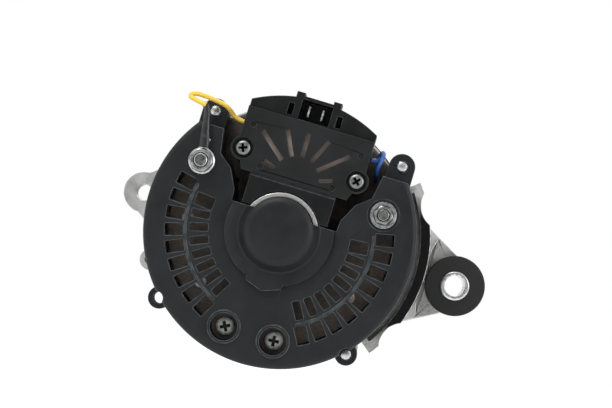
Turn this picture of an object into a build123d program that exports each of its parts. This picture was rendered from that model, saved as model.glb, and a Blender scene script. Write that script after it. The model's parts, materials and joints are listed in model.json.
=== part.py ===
from build123d import *
import os
from math import cos, radians, sin, tan

# Car alternator with an outside fan, a single-groove pulley, a claw-pole rotor, and a moulded
# rear cover that is open at the top for the regulator and brush-holder module.
#
# Millimetres. The origin is on the rotor axis in the middle of the belt groove. The rotor axis is Y,
# and the rear of the alternator faces -Y. +Z points up through the regulator, +X to the pivot lug.
# An axial place is written as a distance behind the belt groove, so it grows towards the rear.

os.makedirs("parts", exist_ok=True)

# ---------------------------------------------------------------- driving dimensions: fits
press = 0.02                 # radial room between pieces pressed or keyed together
running = 0.06               # radial room between pieces that turn or slide on each other
loose = 0.3                  # room between neighbouring faces that don't carry each other

# ---------------------------------------------------------------- pulley, fan and shaft end
pulley_radius = 34.0
pulley_width = 18.0
groove_width = 12.5          # at the rim, for a 13 mm V-belt
groove_depth = 11.0
groove_half_angle = 19.0
pulley_hub_radius = 15.0
pulley_recess = 4.0
shaft_radius = 8.5           # through the pulley, the fan and the front bearing
thread_step = 0.6            # thread crest inside the shaft's ground length
nut_across_flats = 24.0
nut_height = 10.0
spring_washer_height = 2.4
spring_washer_radius = 13.0
thread_past_nut = 2.5
key_width = 4.0
key_length = 9.0
key_seat_depth = 2.4
key_height = 4.6
fan_spacer_length = 2.0
fan_spacer_radius = 13.5
fan_radius = 60.0
fan_sheet = 2.0
fan_depth = 13.0
fan_blades = 11
fan_blade_inner = 36.0
fan_blade_sweep = 24.0       # how far a blade's tip trails its root, in degrees
fan_window_width = 6.5
fan_window_lag = 5.6         # window behind its blade, in degrees
fan_dish = 3.0               # the middle of the disc stands back by this
fan_dish_inner = 21.0
fan_dish_outer = 29.0
fan_rim = 2.0                # disc left outside the blades
fan_gap = 3.0

# ---------------------------------------------------------------- bearings
front_bearing_radius = 23.5
front_bearing_width = 14.0
front_ball_share = 0.29      # ball radius as a share of the room between shaft and housing
front_ball_count = 8
rear_bearing_radius = 16.0
rear_bearing_bore = 6.0
rear_bearing_width = 10.0
rear_ball_share = 0.30
rear_ball_count = 7
race_gap = 0.1               # ball to groove
cage_rim = 0.5               # cage left beside a ball pocket
seal_thickness = 0.9
retainer_thickness = 2.0
retainer_screw_radius = 2.0
retainer_screw_inset = 3.5   # screws outside the bearing
retainer_screw_depth = 7.5
retainer_head_radius = 3.4
retainer_head_height = 2.0
retainer_ear_radius = 4.4

# ---------------------------------------------------------------- rotor
air_gap = 0.5
rotor_radius = 47.5
pole_pairs = 6
pole_disc = 12.0
pole_core_radius = 13.0
pole_root_width = 22.0
pole_tip_width = 9.0
pole_root_depth = 14.5
pole_tip_depth = 5.0
pole_tip_gap = 5.0           # finger tip to the back of the opposite pole
coil_width = 23.0
coil_wall = 1.2
pole_seat_radius = 9.5
shaft_shoulder_radius = 12.0
shaft_shoulder = 6.0
pole_to_rear_bearing = 2.0
slip_ring_radius = 8.0
slip_ring_width = 4.4
slip_ring_gap = 1.2
slip_ring_wall = 1.3
slip_ring_offset = 1.4       # rear bearing to the first ring

# ---------------------------------------------------------------- stator
stator_yoke = 4.3            # iron left outside the slots
stator_length = 28.0
stator_slots = 36
slot_depth = 7.5
slot_width = 4.2
slot_mouth = 2.0             # tooth tip depth left in front of the wire
winding_height = 8.6         # end turns past the core
winding_slope = 1.6

# ---------------------------------------------------------------- through bolts
bolt_radius = 2.5
bolt_clearance = 0.3         # the bolts pass outside the stator
top_bolt_angles = (45.0, 135.0)
bottom_bolt_angle = 315.0
short_bolt_angle = 208.0     # this one ends in the rear bracket
bolt_angles = (*top_bolt_angles, short_bolt_angle, bottom_bolt_angle)
bolt_head_across_flats = 8.0
bolt_head_height = 3.6
bolt_boss_radius = 5.2
bolt_tip = 1.4               # shows behind a cover lug

# ---------------------------------------------------------------- drive-end bracket
bracket_step = 1.0           # bracket outside the stator's edge
bracket_wall = 4.4
bracket_front_wall = 6.0
bracket_shoulder = 6.0
bracket_lip = 3.0            # holds the front bearing forwards
bracket_lip_width = 4.5
hub_wall = 7.5
rim_height = 9.4             # the wide rim that carries the pivot web
rim_depth = 20.0
rim_overlap = 2.6            # rims reach over the stator
rim_half_angle = 38.0
rim_groove_width = 4.4       # open groove between the skirt and the rim
rim_groove_depth = 16.0
rim_groove_end = 3.0         # rim left at each end of the groove, in degrees
scallop_radius = 12.0
scallop_depth = 3.4
scallop_angle = 27.0
ear_rim_height = 7.4
ear_rim_half_angle = 17.0
window_count = 10
window_width = 15.0
window_room = 2.5            # wall left inside and outside a window
spoke_rib = 2.4              # ribs on the spokes between the windows
spoke_rib_height = 2.2
skirt_window = (14.0, 11.0)
skirt_window_angles = (62.0, 81.0, 99.0, 118.0, 226.0, 244.0, 262.0, 280.0, 298.0)
pivot_reach = 25.1           # pivot axis outside the bracket
pivot_lug_radius = 14.2
pivot_web_half = 26.4
pivot_web_sink = 4.3
pivot_web_shoulder = 3.2
pivot_pocket = 3.0           # depth of the cored pocket in the web
pivot_lug_length = 21.0
bush_bore_radius = 11.0
bush_flange_radius = 15.0
bush_flange = 4.0
sleeve_radius = 7.3
pivot_bore_radius = 5.1
sleeve_proud = 0.8
ear_reach = 11.8
ear_web_half = 22.0
ear_radius = 10.35
ear_hole_radius = 4.1
ear_thickness = 10.0

# ---------------------------------------------------------------- rear bracket
rear_skirt_wall = 2.8
rear_wall = 4.0
rear_skirt_depth = 10.5
boss_wall = 2.1              # machined bearing boss, its bright end shows round the dome
boss_past_cover = 1.5
boss_front_lip = 1.0
boss_lip_width = 3.0
rear_window_circle = 41.0
rear_window_count = 8
rear_window_width = 15.0
rear_window_height = 20.0
window_corner = 2.0
screw_post_radius = 5.0
pillar_radius = 4.5
brush_window_width = 15.0
brush_window_foot = 8.0

# ---------------------------------------------------------------- rear cover
cover_room = 0.7             # cover outside the rear bracket
cover_wall = 2.2
cover_headroom = 4.8         # from the rectifier's screw heads to the cover
cover_gap_to_stator = 1.5
cover_edge = 2.4             # rounding of the outer rear edge
arm_top = 38.5
arm_inner = 38.5
arm_neck = (36.5, 27.0)
arm_shoulder = (30.0, 21.7)
arm_root = (25.6, 13.0)
flange_chord = 7.6           # the opening ends here, above the rotor axis
lug_length = 6.0
top_lug_radius = 6.2
bottom_lug_radius = 5.3
empty_lug_angle = 225.0
lug_drop = 11.0              # lug faces in front of the cover's face
vent_outer_row = (44.7, 53.2)
vent_outer_width = 5.6
vent_outer_count = 9
vent_outer_first = 168.0
vent_outer_last = 241.0
vent_inner_row = (33.0, 41.7)
vent_inner_width = 3.6
vent_inner_count = 7
vent_inner_first = 184.0
vent_inner_last = 240.0
vent_square_angle = 174.5
vent_square_width = 5.8
access_hole = (11.85, -49.3)
access_hole_radius = 6.4
access_rim_radius = 7.7
access_rim_height = 1.0
ridge_radius = 43.2          # low ridge between the two rows of vents
ridge_width = 0.8
ridge_height = 0.5
ridge_angles = (166.0, 243.0)

# ---------------------------------------------------------------- slip-ring cap
cap_top_radius = 10.5
cap_flank = 0.5              # dome outside the bearing boss
cap_neck = 2.5               # neck inside the bearing boss
cap_flange_width = 7.3       # flange outside the bearing boss
cap_flange = 2.3
cap_height = 9.0             # above the cover face
cap_crown = 5.0              # rounding of the dome
cap_foot = 1.4               # rounding between the dome and its flange
cap_wall = 1.8
cap_tab_width = 17.0
cap_tab_shoulder = 25.6
cap_tab_reach = 28.6

# ---------------------------------------------------------------- regulator and brushes
regulator_half_width = 30.4
regulator_plate = 3.2
regulator_proud = 0.2        # plate behind the cover's face
regulator_top = 52.2
regulator_foot = (25.5, 22.8)
regulator_screw = (27.43, 32.44)
regulator_lobe_radius = 5.8
regulator_recess_radius = 4.9
regulator_depth = 13.6
regulator_dimples = ((26.0, 44.2), (17.5, 26.4))
dimple_radius = 1.5
dimple_depth = 0.8
screw_seat = 0.8             # plate left under a screw head
screw_head_radius = 3.5
screw_head_height = 2.2
screw_shank_radius = 2.0
sun_centre = 25.0
sun_inner = 11.0
sun_slots = ((0.0, 22.8), (25.0, 24.0), (50.0, 27.6), (75.0, 17.3))
sun_slot_width = 2.1
heat_sink_plate = 2.4
heat_sink_half_width = 21.9
heat_sink_height = 25.0
heat_sink_middle = 38.6
band_half_width = 20.6
band_top = 22.6
band_bottom = 8.4
band_proud = 1.6             # band behind the cover's face
band_root = 6.0              # depth of the band beside the snout
socket_half_width = 7.3
socket_bottom = 52.8
socket_top = 62.3
socket_depth = 11.5
socket_wall = 1.6
socket_post = 2.0
socket_post_height = 3.0
side_slot = (2.4, 5.4)
side_slot_depth = 8.0
side_slot_spacing = 23.4
side_slot_middle = 56.4
blade_spacing = 6.6
blade_width = 5.0
blade_thickness = 0.8
blade_length = 9.0
brush_width = 6.4
brush_thickness = 4.0
brush_length = 14.0
brush_room = 0.12
holder_wall = 1.4
spring_length = 8.5
spring_radius = 1.6
spring_wire = 0.35
spring_turns = 5

# ---------------------------------------------------------------- terminals and rectifier
stud_place = (43.85, 21.1)
output_stud_radius = 3.0
output_nut_across_flats = 10.0
output_nut_height = 6.0
output_nut_flange = 6.0
excitation_stud_radius = 2.5
excitation_nut_across_flats = 8.0
excitation_nut_height = 4.0
washer_radius = 6.2
washer_thickness = 1.2
stud_past_nut = 2.6
terminal_thickness = 1.0
terminal_radius = 5.6
terminal_tail = (4.4, 8.0)
plate_inner_radius = 29.0
plate_clearance = 1.0
plate_reach = 52.5           # outer radius of the upper plate and the board
plate_pad_radius = 6.5       # pads under the screws
stud_hole = 5.5              # round an insulated stud
lead_hole = 1.2              # room round a diode's lead
negative_plate = 2.5
positive_plate = 3.0
board_thickness = 1.5
plate_step = 5.6             # between the two plates
pillar_height = 2.4
diode_radius = 6.4
diode_height = 7.0
diode_circle = 44.0
diode_lead_radius = 0.7
diode_lead_past = 3.0        # past the board
positive_diode_angles = (188.0, 228.0, 333.0)
negative_diode_angles = (208.0, 313.0, 353.0)
rectifier_screw_radius = 2.0
rectifier_head_radius = 4.2
rectifier_head_height = 3.0
recess_length = 4.6
recess_width = 1.1
recess_depth = 1.6

# ---------------------------------------------------------------- radii that follow one another
thread_radius = shaft_radius - thread_step
front_ball_radius = front_ball_share * (front_bearing_radius - shaft_radius)
front_ball_pitch = (front_bearing_radius + shaft_radius) / 2
rear_ball_radius = rear_ball_share * (rear_bearing_radius - rear_bearing_bore)
rear_ball_pitch = (rear_bearing_radius + rear_bearing_bore) / 2
stator_bore = rotor_radius + air_gap
slot_floor = stator_bore + slot_mouth + slot_depth
stator_radius = slot_floor + stator_yoke
bolt_circle = stator_radius + bolt_clearance + bolt_radius
bracket_radius = stator_radius + bracket_step
rim_radius = bracket_radius + rim_height
ear_rim_radius = bracket_radius + ear_rim_height
pivot_x = bracket_radius + pivot_reach
ear_x = -bracket_radius - ear_reach
hub_radius = front_bearing_radius + hub_wall
bracket_lip_radius = front_bearing_radius - bracket_lip_width
retainer_screw_circle = front_bearing_radius + retainer_screw_inset
rear_skirt_radius = slot_floor + loose + rear_skirt_wall
cover_radius = rear_skirt_radius + cover_room + cover_wall
boss_radius = rear_bearing_radius + boss_wall
boss_lip_radius = rear_bearing_radius - boss_lip_width
cap_flank_radius = boss_radius + cap_flank
cap_neck_radius = boss_radius - cap_neck
cap_flange_radius = boss_radius + cap_flange_width
band_cutout_radius = cap_flank_radius

# ---------------------------------------------------------------- places along the shaft
pulley_back = pulley_width / 2
fan_front = pulley_back + fan_spacer_length
fan_back = fan_front + fan_depth
bracket_front = fan_back + fan_gap
front_bearing_front = bracket_front + bracket_lip
front_bearing_back = front_bearing_front + front_bearing_width
rotor_front = front_bearing_back + shaft_shoulder
rotor_back = rotor_front + 2 * pole_disc + coil_width
rotor_middle = (rotor_front + rotor_back) / 2
stator_front = rotor_middle - stator_length / 2
stator_back = rotor_middle + stator_length / 2
rear_wall_front = stator_back + rear_skirt_depth
rear_wall_back = rear_wall_front + rear_wall
rear_bearing_front = rotor_back + pole_to_rear_bearing
rear_bearing_back = rear_bearing_front + rear_bearing_width
boss_front = rear_bearing_front - boss_front_lip
first_ring = rear_bearing_back + slip_ring_offset
second_ring = first_ring + slip_ring_width + slip_ring_gap
rings_back = second_ring + slip_ring_width
shaft_back = rings_back + 1.5
cover_front = stator_back + cover_gap_to_stator
plate_front = rear_wall_back + pillar_height
plate_back = plate_front + negative_plate
upper_plate_front = plate_back + plate_step
upper_plate_back = upper_plate_front + positive_plate
board_back = upper_plate_back + board_thickness
cover_face = board_back + rectifier_head_height + cover_headroom + cover_wall
lug_face = cover_face - lug_drop
boss_back = cover_face + boss_past_cover
regulator_face = cover_face + regulator_proud
band_face = cover_face + band_proud
body_back = regulator_face - regulator_plate
body_front = body_back - regulator_depth
bolt_seat = bracket_front + bolt_head_height
front_race_inner = front_ball_pitch - 0.7 * front_ball_radius
front_race_outer = front_ball_pitch + 0.7 * front_ball_radius
rear_race_inner = rear_ball_pitch - 0.7 * rear_ball_radius
rear_race_outer = rear_ball_pitch + 0.7 * rear_ball_radius

# ---------------------------------------------------------------- leads: across, up, behind the belt
yellow_radius = 1.3
yellow_route = (
    (-regulator_half_width, 44.6, 117.0), (-36.4, 44.6, 117.0), (-41.6, 48.8, 120.4), (-48.6, 51.6, 124.0),
    (-57.4, 53.2, 127.4), (-58.2, 47.4, 131.2), (-50.4, 47.8, 131.2), (-48.6, 43.4, 131.0),
)
sleeve_tube_radius = 2.3
sleeve_route = ((-48.6, 43.4, 131.0), (-46.2, 37.53, 130.73), (-45.6, 30.2, 130.5))
blue_radius = 1.15
blue_route = (
    (regulator_half_width, 41.6, 115.0), (35.8, 41.6, 115.0), (35.8, 49.6, 117.2), (41.2, 49.2, 119.0),
    (40.2, 43.0, 119.6), (35.9, 38.2, 114.0), (35.4, 36.4, 109.0), (35.4, 36.4, rear_wall_back),
)

# ---------------------------------------------------------------- planes and small helpers
REAR = Plane.XZ                                   # seen from behind: x across, y up
SECTION = Plane(origin=(0, 0, 0), x_dir=(0, -1, 0), z_dir=(0, 0, 1))   # x rearwards, y radius
REAR_AXIS = Axis((0, 0, 0), (0, -1, 0))           # turns anticlockwise as seen from behind


def at(distance):
    """The plane across the rotor axis at a distance behind the belt groove."""
    return REAR.offset(distance)


def polar(radius, angle):
    """A point across the axis, from its radius and its angle as seen from behind."""
    return (radius * cos(radians(angle)), radius * sin(radians(angle)))


def turn(*outline, mode=Mode.ADD):
    """Revolve an outline of (distance behind the belt, radius) points about the rotor axis."""
    with BuildSketch(SECTION) as profile:
        with BuildLine():
            Polyline(*outline, close=True)
        make_face()
    revolve(profile.sketch, axis=Axis.Y, mode=mode)


def ring(front, back, inner, outer, mode=Mode.ADD):
    """A plain ring or disc about the rotor axis."""
    turn((front, inner), (back, inner), (back, outer), (front, outer), mode=mode)


def bar(places, front, back, radius, mode=Mode.ADD):
    """Round bars, or round holes, along the rotor axis at places across it."""
    with BuildSketch(at(front)) as section:
        with Locations(*places):
            Circle(radius)
    extrude(section.sketch, amount=back - front, mode=mode)


def hexagon(places, front, back, across_flats, mode=Mode.ADD):
    """Hexagon heads or nuts at places across the rotor axis."""
    with BuildSketch(at(front)) as section:
        with Locations(*places):
            RegularPolygon(across_flats / 2, 6, major_radius=False)
    extrude(section.sketch, amount=back - front, mode=mode)


def sector(front, back, inner, outer, first, last, mode=Mode.ADD):
    """A ring's piece between two angles, under half a turn."""
    far = outer / cos(radians((last - first) / 4)) + 1
    with BuildSketch(at(front)) as section:
        Circle(outer)
        Circle(inner, mode=Mode.SUBTRACT)
        with BuildLine():
            Polyline(
                (0, 0), polar(far, first), polar(far, (first + last) / 2), polar(far, last), close=True
            )
        make_face(mode=Mode.INTERSECT)
    extrude(section.sketch, amount=back - front, mode=mode)


def tube(route, radius):
    """A lead along a hand-placed route of (across, up, behind the belt) points."""
    points = [Vector(x, -behind, up) for x, up, behind in route]
    runs = [end - start for start, end in zip(points, points[1:])]
    bends = []
    for before, after in zip(runs, runs[1:]):
        half = radians(before.get_angle(after)) / 2
        bends.append(0.45 * min(before.length, after.length) / tan(half))
    with BuildLine() as line:
        path = FilletPolyline(*points, radius=bends)
    with BuildSketch(Plane(path @ 0, z_dir=path % 0)) as section:
        Circle(radius)
    sweep(section.sketch, path=path)
    return path.length, min(bends)


def finish(piece, name):
    """Name a finished piece and write it."""
    piece.part.label = name
    export_step(piece.part, f"parts/{name}.step")


mirrored_studs = [(-stud_place[0], stud_place[1]), stud_place]
regulator_screws_at = [(-regulator_screw[0], regulator_screw[1]), regulator_screw]
access_holes_at = [(-access_hole[0], access_hole[1]), access_hole]
bolts_at = [polar(bolt_circle, angle) for angle in bolt_angles]
cover_bolts_at = [polar(bolt_circle, angle) for angle in bolt_angles if angle != short_bolt_angle]

# ================================================================ rotor: shaft and pulley end
washer_front = -pulley_back + pulley_recess - spring_washer_height
nut_front = washer_front - nut_height
shaft_front = nut_front - thread_past_nut

with BuildPart() as rotor_shaft:
    turn(
        (shaft_front, 0), (shaft_front, thread_radius - 1), (shaft_front + 1, thread_radius),
        (-pulley_back + pulley_recess, thread_radius), (-pulley_back + pulley_recess, shaft_radius),
        (front_bearing_back, shaft_radius), (front_bearing_back, shaft_shoulder_radius),
        (rotor_front, shaft_shoulder_radius), (rotor_front, pole_seat_radius),
        (rotor_back, pole_seat_radius), (rotor_back, rear_bearing_bore + 1.5),
        (rear_bearing_front, rear_bearing_bore + 1.5), (rear_bearing_front, rear_bearing_bore),
        (rear_bearing_back, rear_bearing_bore), (rear_bearing_back, rear_bearing_bore - 1),
        (shaft_back, rear_bearing_bore - 1), (shaft_back, 0),
    )
    with BuildSketch(Plane.XY.offset(shaft_radius - key_seat_depth)) as key_seat:
        Rectangle(key_width, key_length)
    extrude(key_seat.sketch, amount=key_height, mode=Mode.SUBTRACT)
finish(rotor_shaft, "rotor_shaft")

with BuildPart() as shaft_key:
    with BuildSketch(Plane.XY.offset(shaft_radius - key_seat_depth + press)):
        Rectangle(key_width - 2 * press, key_length - 2 * press)
    extrude(amount=key_height - 2 * press)
finish(shaft_key, "shaft_key")

groove_floor = groove_width / 2 - groove_depth * tan(radians(groove_half_angle))
with BuildPart() as pulley:
    turn(
        (-pulley_back + pulley_recess, shaft_radius + press),
        (-pulley_back + pulley_recess, pulley_hub_radius),
        (-pulley_back, pulley_hub_radius + 2), (-pulley_back, pulley_radius - 1),
        (-pulley_back + 1, pulley_radius), (-groove_width / 2, pulley_radius),
        (-groove_floor, pulley_radius - groove_depth), (groove_floor, pulley_radius - groove_depth),
        (groove_width / 2, pulley_radius), (pulley_back - 1, pulley_radius),
        (pulley_back, pulley_radius - 1), (pulley_back, shaft_radius + press),
    )
    with BuildSketch(Plane.XY) as keyway:
        Rectangle(key_width, pulley_width + 2)
    extrude(
        keyway.sketch, amount=shaft_radius - key_seat_depth + key_height + 0.2, mode=Mode.SUBTRACT
    )
finish(pulley, "pulley")

with BuildPart() as pulley_washer:
    ring(washer_front, washer_front + spring_washer_height, thread_radius + press, spring_washer_radius)
finish(pulley_washer, "pulley_washer")

with BuildPart() as pulley_nut:
    hexagon([(0, 0)], nut_front, washer_front, nut_across_flats)
    bar([(0, 0)], nut_front, washer_front, thread_radius + press, mode=Mode.SUBTRACT)
    chamfer(pulley_nut.faces().sort_by(Axis.Y)[-1].outer_wire().edges(), length=0.8)
finish(pulley_nut, "pulley_nut")

with BuildPart() as fan_spacer:
    ring(pulley_back, fan_front, shaft_radius + press, fan_spacer_radius)
finish(fan_spacer, "fan_spacer")



def swept_bands(inner, outer, width, lag):
    """A band for each blade, swept back from its inner end to its outer end."""
    with BuildSketch(mode=Mode.PRIVATE) as band:
        with BuildLine():
            ThreePointArc(
                polar(inner, lag), polar((inner + outer) / 2, lag + 0.38 * fan_blade_sweep),
                polar(outer, lag + fan_blade_sweep),
            )
        trace(line_width=width)
    with PolarLocations(0, fan_blades):
        add(band.sketch_local)


with BuildPart() as fan:
    turn(
        (fan_front, shaft_radius + press), (fan_front, fan_dish_inner - fan_dish),
        (fan_front + fan_dish, fan_dish_inner), (fan_front + fan_dish, fan_dish_outer),
        (fan_front, fan_dish_outer + fan_dish), (fan_front, fan_radius),
        (fan_front + fan_sheet, fan_radius), (fan_front + fan_sheet, fan_dish_outer + fan_dish + 1),
        (fan_front + fan_dish + fan_sheet, fan_dish_outer + 1),
        (fan_front + fan_dish + fan_sheet, fan_spacer_radius),
        (front_bearing_front, fan_spacer_radius), (front_bearing_front, shaft_radius + press),
    )
    # each blade was pressed out of the window behind it
    with BuildSketch(at(fan_front)) as blade_windows:
        swept_bands(fan_blade_inner + 2, fan_radius - fan_rim - 2, fan_window_width, -fan_window_lag)
        fillet(blade_windows.vertices(), 1.5)
    extrude(blade_windows.sketch, amount=fan_sheet, mode=Mode.SUBTRACT)
    with BuildSketch(at(fan_front)) as blades:
        swept_bands(fan_blade_inner, fan_radius - fan_rim, fan_sheet, 0)
    extrude(blades.sketch, amount=fan_depth)
finish(fan, "fan")

# ================================================================ rotor: poles and field coil
finger_length = coil_width + pole_disc - pole_tip_gap


def claw_pole(first_angle, front, back, towards):
    """One pole: a disc with six arms, a half core, and fingers that taper over the coil."""
    inner_face = back if towards > 0 else front
    with BuildSketch(at(front)) as star:
        Circle(rotor_radius - pole_root_depth)
        with PolarLocations(rotor_radius / 2, pole_pairs, start_angle=first_angle):
            Rectangle(rotor_radius, pole_root_width)
    extrude(star.sketch, amount=back - front)
    finger_angle = radians(first_angle)
    across = Vector(cos(finger_angle), 0, sin(finger_angle))
    with BuildPart(mode=Mode.PRIVATE) as finger:
        for distance, width, depth in (
            (inner_face, pole_root_width, pole_root_depth),
            (inner_face + towards * finger_length, pole_tip_width, pole_tip_depth),
        ):
            section = Plane(
                origin=across * (rotor_radius - depth / 2) + Vector(0, -distance, 0),
                x_dir=across, z_dir=(0, -1, 0),
            )
            with BuildSketch(section):
                Rectangle(depth, width)
        loft()
    for index in range(pole_pairs):
        add(finger.part.rotate(REAR_AXIS, index * 360 / pole_pairs))
    ring(
        min(inner_face, rotor_middle), max(inner_face, rotor_middle),
        pole_seat_radius + press, pole_core_radius,
    )
    ring(front, back, 0, pole_seat_radius + press, mode=Mode.SUBTRACT)
    ring(rotor_front - 1, rotor_back + 1, 0, rotor_radius, mode=Mode.INTERSECT)


with BuildPart() as front_claw_pole:
    claw_pole(90.0, rotor_front, rotor_front + pole_disc, 1)
finish(front_claw_pole, "front_claw_pole")

with BuildPart() as rear_claw_pole:
    claw_pole(90.0 + 180 / pole_pairs, rotor_back - pole_disc, rotor_back, -1)
finish(rear_claw_pole, "rear_claw_pole")

coil_front = rotor_front + pole_disc + press
coil_back = rotor_back - pole_disc - press
bobbin_radius = rotor_radius - pole_root_depth - 2.2
with BuildPart() as coil_bobbin:
    turn(
        (coil_front, pole_core_radius + press), (coil_front, bobbin_radius),
        (coil_front + coil_wall, bobbin_radius), (coil_front + coil_wall, pole_core_radius + coil_wall),
        (coil_back - coil_wall, pole_core_radius + coil_wall), (coil_back - coil_wall, bobbin_radius),
        (coil_back, bobbin_radius), (coil_back, pole_core_radius + press),
    )
finish(coil_bobbin, "coil_bobbin")

with BuildPart() as field_coil:
    ring(
        coil_front + coil_wall + press, coil_back - coil_wall - press,
        pole_core_radius + coil_wall + press, bobbin_radius - 0.8,
    )
finish(field_coil, "field_coil")

# ================================================================ rotor: slip rings
with BuildPart() as slip_ring_insulator:
    ring(
        rear_bearing_back + 0.6, shaft_back, rear_bearing_bore - 1 + press,
        slip_ring_radius - slip_ring_wall - press,
    )
finish(slip_ring_insulator, "slip_ring_insulator")

with BuildPart() as slip_rings:
    for start in (first_ring, second_ring):
        ring(start, start + slip_ring_width, slip_ring_radius - slip_ring_wall, slip_ring_radius)
finish(slip_rings, "slip_rings")

# ================================================================ bearings


def race_groove(middle, pitch, ball):
    """Cut the ball groove of a race."""
    with BuildSketch(SECTION) as groove:
        with Locations((middle, pitch)):
            Circle(ball + race_gap)
    revolve(groove.sketch, axis=Axis.Y, mode=Mode.SUBTRACT)


def balls(middle, pitch, ball, count):
    """A row of bearing balls."""
    for index in range(count):
        x, z = polar(pitch, index * 360 / count)
        with Locations((x, -middle, z)):
            Sphere(ball)


def cage(middle, pitch, ball, count):
    """A thin cage ring with a pocket for each ball."""
    half_length = ball + race_gap + cage_rim
    ring(middle - half_length, middle + half_length, pitch - ball * 0.28, pitch + ball * 0.28)
    for index in range(count):
        x, z = polar(pitch, index * 360 / count)
        radial = Vector(x, 0, z)
        with BuildSketch(Plane(origin=(x, -middle, z), z_dir=radial)) as pocket:
            Circle(ball + race_gap)
        extrude(pocket.sketch, amount=ball, both=True, mode=Mode.SUBTRACT)


front_bearing_middle = (front_bearing_front + front_bearing_back) / 2
rear_bearing_middle = (rear_bearing_front + rear_bearing_back) / 2

with BuildPart() as front_bearing_outer_race:
    ring(front_bearing_front, front_bearing_back, front_race_outer, front_bearing_radius - press)
    race_groove(front_bearing_middle, front_ball_pitch, front_ball_radius)
finish(front_bearing_outer_race, "front_bearing_outer_race")

with BuildPart() as front_bearing_inner_race:
    ring(front_bearing_front, front_bearing_back, shaft_radius + press, front_race_inner)
    race_groove(front_bearing_middle, front_ball_pitch, front_ball_radius)
finish(front_bearing_inner_race, "front_bearing_inner_race")

with BuildPart() as front_bearing_balls:
    balls(front_bearing_middle, front_ball_pitch, front_ball_radius, front_ball_count)
finish(front_bearing_balls, "front_bearing_balls")

with BuildPart() as front_bearing_cage:
    cage(front_bearing_middle, front_ball_pitch, front_ball_radius, front_ball_count)
finish(front_bearing_cage, "front_bearing_cage")

with BuildPart() as front_bearing_seals:
    for start in (front_bearing_front + 0.4, front_bearing_back - 0.4 - seal_thickness):
        ring(start, start + seal_thickness, front_race_inner + loose, front_race_outer - press)
finish(front_bearing_seals, "front_bearing_seals")

with BuildPart() as rear_bearing_outer_race:
    ring(rear_bearing_front, rear_bearing_back, rear_race_outer, rear_bearing_radius - press)
    race_groove(rear_bearing_middle, rear_ball_pitch, rear_ball_radius)
finish(rear_bearing_outer_race, "rear_bearing_outer_race")

with BuildPart() as rear_bearing_inner_race:
    ring(rear_bearing_front, rear_bearing_back, rear_bearing_bore + press, rear_race_inner)
    race_groove(rear_bearing_middle, rear_ball_pitch, rear_ball_radius)
finish(rear_bearing_inner_race, "rear_bearing_inner_race")

with BuildPart() as rear_bearing_balls:
    balls(rear_bearing_middle, rear_ball_pitch, rear_ball_radius, rear_ball_count)
finish(rear_bearing_balls, "rear_bearing_balls")

with BuildPart() as rear_bearing_cage:
    cage(rear_bearing_middle, rear_ball_pitch, rear_ball_radius, rear_ball_count)
finish(rear_bearing_cage, "rear_bearing_cage")

with BuildPart() as rear_bearing_seals:
    for start in (rear_bearing_front + 0.3, rear_bearing_back - 0.3 - seal_thickness):
        ring(start, start + seal_thickness, rear_race_inner + loose, rear_race_outer - press)
finish(rear_bearing_seals, "rear_bearing_seals")

# ================================================================ stator
with BuildPart() as stator_core:
    ring(stator_front, stator_back, stator_bore, stator_radius)
    slot_middle = (stator_bore + slot_mouth + slot_floor) / 2
    with BuildSketch(at(stator_front)) as slots:
        with PolarLocations(slot_middle, stator_slots):
            Rectangle(slot_depth, slot_width)
        with PolarLocations(stator_bore + slot_mouth / 2, stator_slots):
            Rectangle(slot_mouth + 2, slot_width / 2)
    extrude(slots.sketch, amount=stator_length, mode=Mode.SUBTRACT)
    bar(bolts_at, stator_front, stator_back, bolt_radius + 0.6, mode=Mode.SUBTRACT)
finish(stator_core, "stator_core")

crown_inner = stator_bore + slot_mouth - 0.6
crown_outer = slot_floor - loose
with BuildPart() as stator_winding:
    with BuildSketch(at(stator_front - winding_height + 1)) as bars:
        with PolarLocations(slot_middle, stator_slots):
            Rectangle(slot_depth - 2 * loose, slot_width - 2 * loose)
    extrude(bars.sketch, amount=stator_length + 2 * winding_height - 2)
    for near, far in (
        (stator_front - loose, stator_front - winding_height),
        (stator_back + loose, stator_back + winding_height),
    ):
        slope = winding_slope if far > near else -winding_slope
        turn(
            (near, crown_inner), (far - slope, crown_inner), (far, crown_inner + 2),
            (far, crown_outer - 2), (far - slope, crown_outer), (near, crown_outer),
        )
        with BuildSketch(at(min(near, far))) as crown_grooves:
            with PolarLocations(crown_outer, stator_slots, start_angle=180 / stator_slots):
                Rectangle(3.2, 1.4)
        extrude(crown_grooves.sketch, amount=abs(far - near), mode=Mode.SUBTRACT)
finish(stator_winding, "stator_winding")

# ================================================================ drive-end bracket
hub_back = front_bearing_back
lug_back = stator_front + rim_overlap - bush_flange - 1
lug_front = lug_back - pivot_lug_length
skirt_inner = bracket_radius - bracket_wall
web_root = bracket_radius - pivot_web_sink
web_shoulder = bracket_radius + pivot_web_shoulder
rim_front = stator_front - rim_depth
rim_back = stator_front + rim_overlap
scallop_circle = rim_radius - scallop_depth + scallop_radius
window_circle = (hub_radius + skirt_inner) / 2
retainer_screws_at = [polar(retainer_screw_circle, angle) for angle in (90, 210, 330)]

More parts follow.
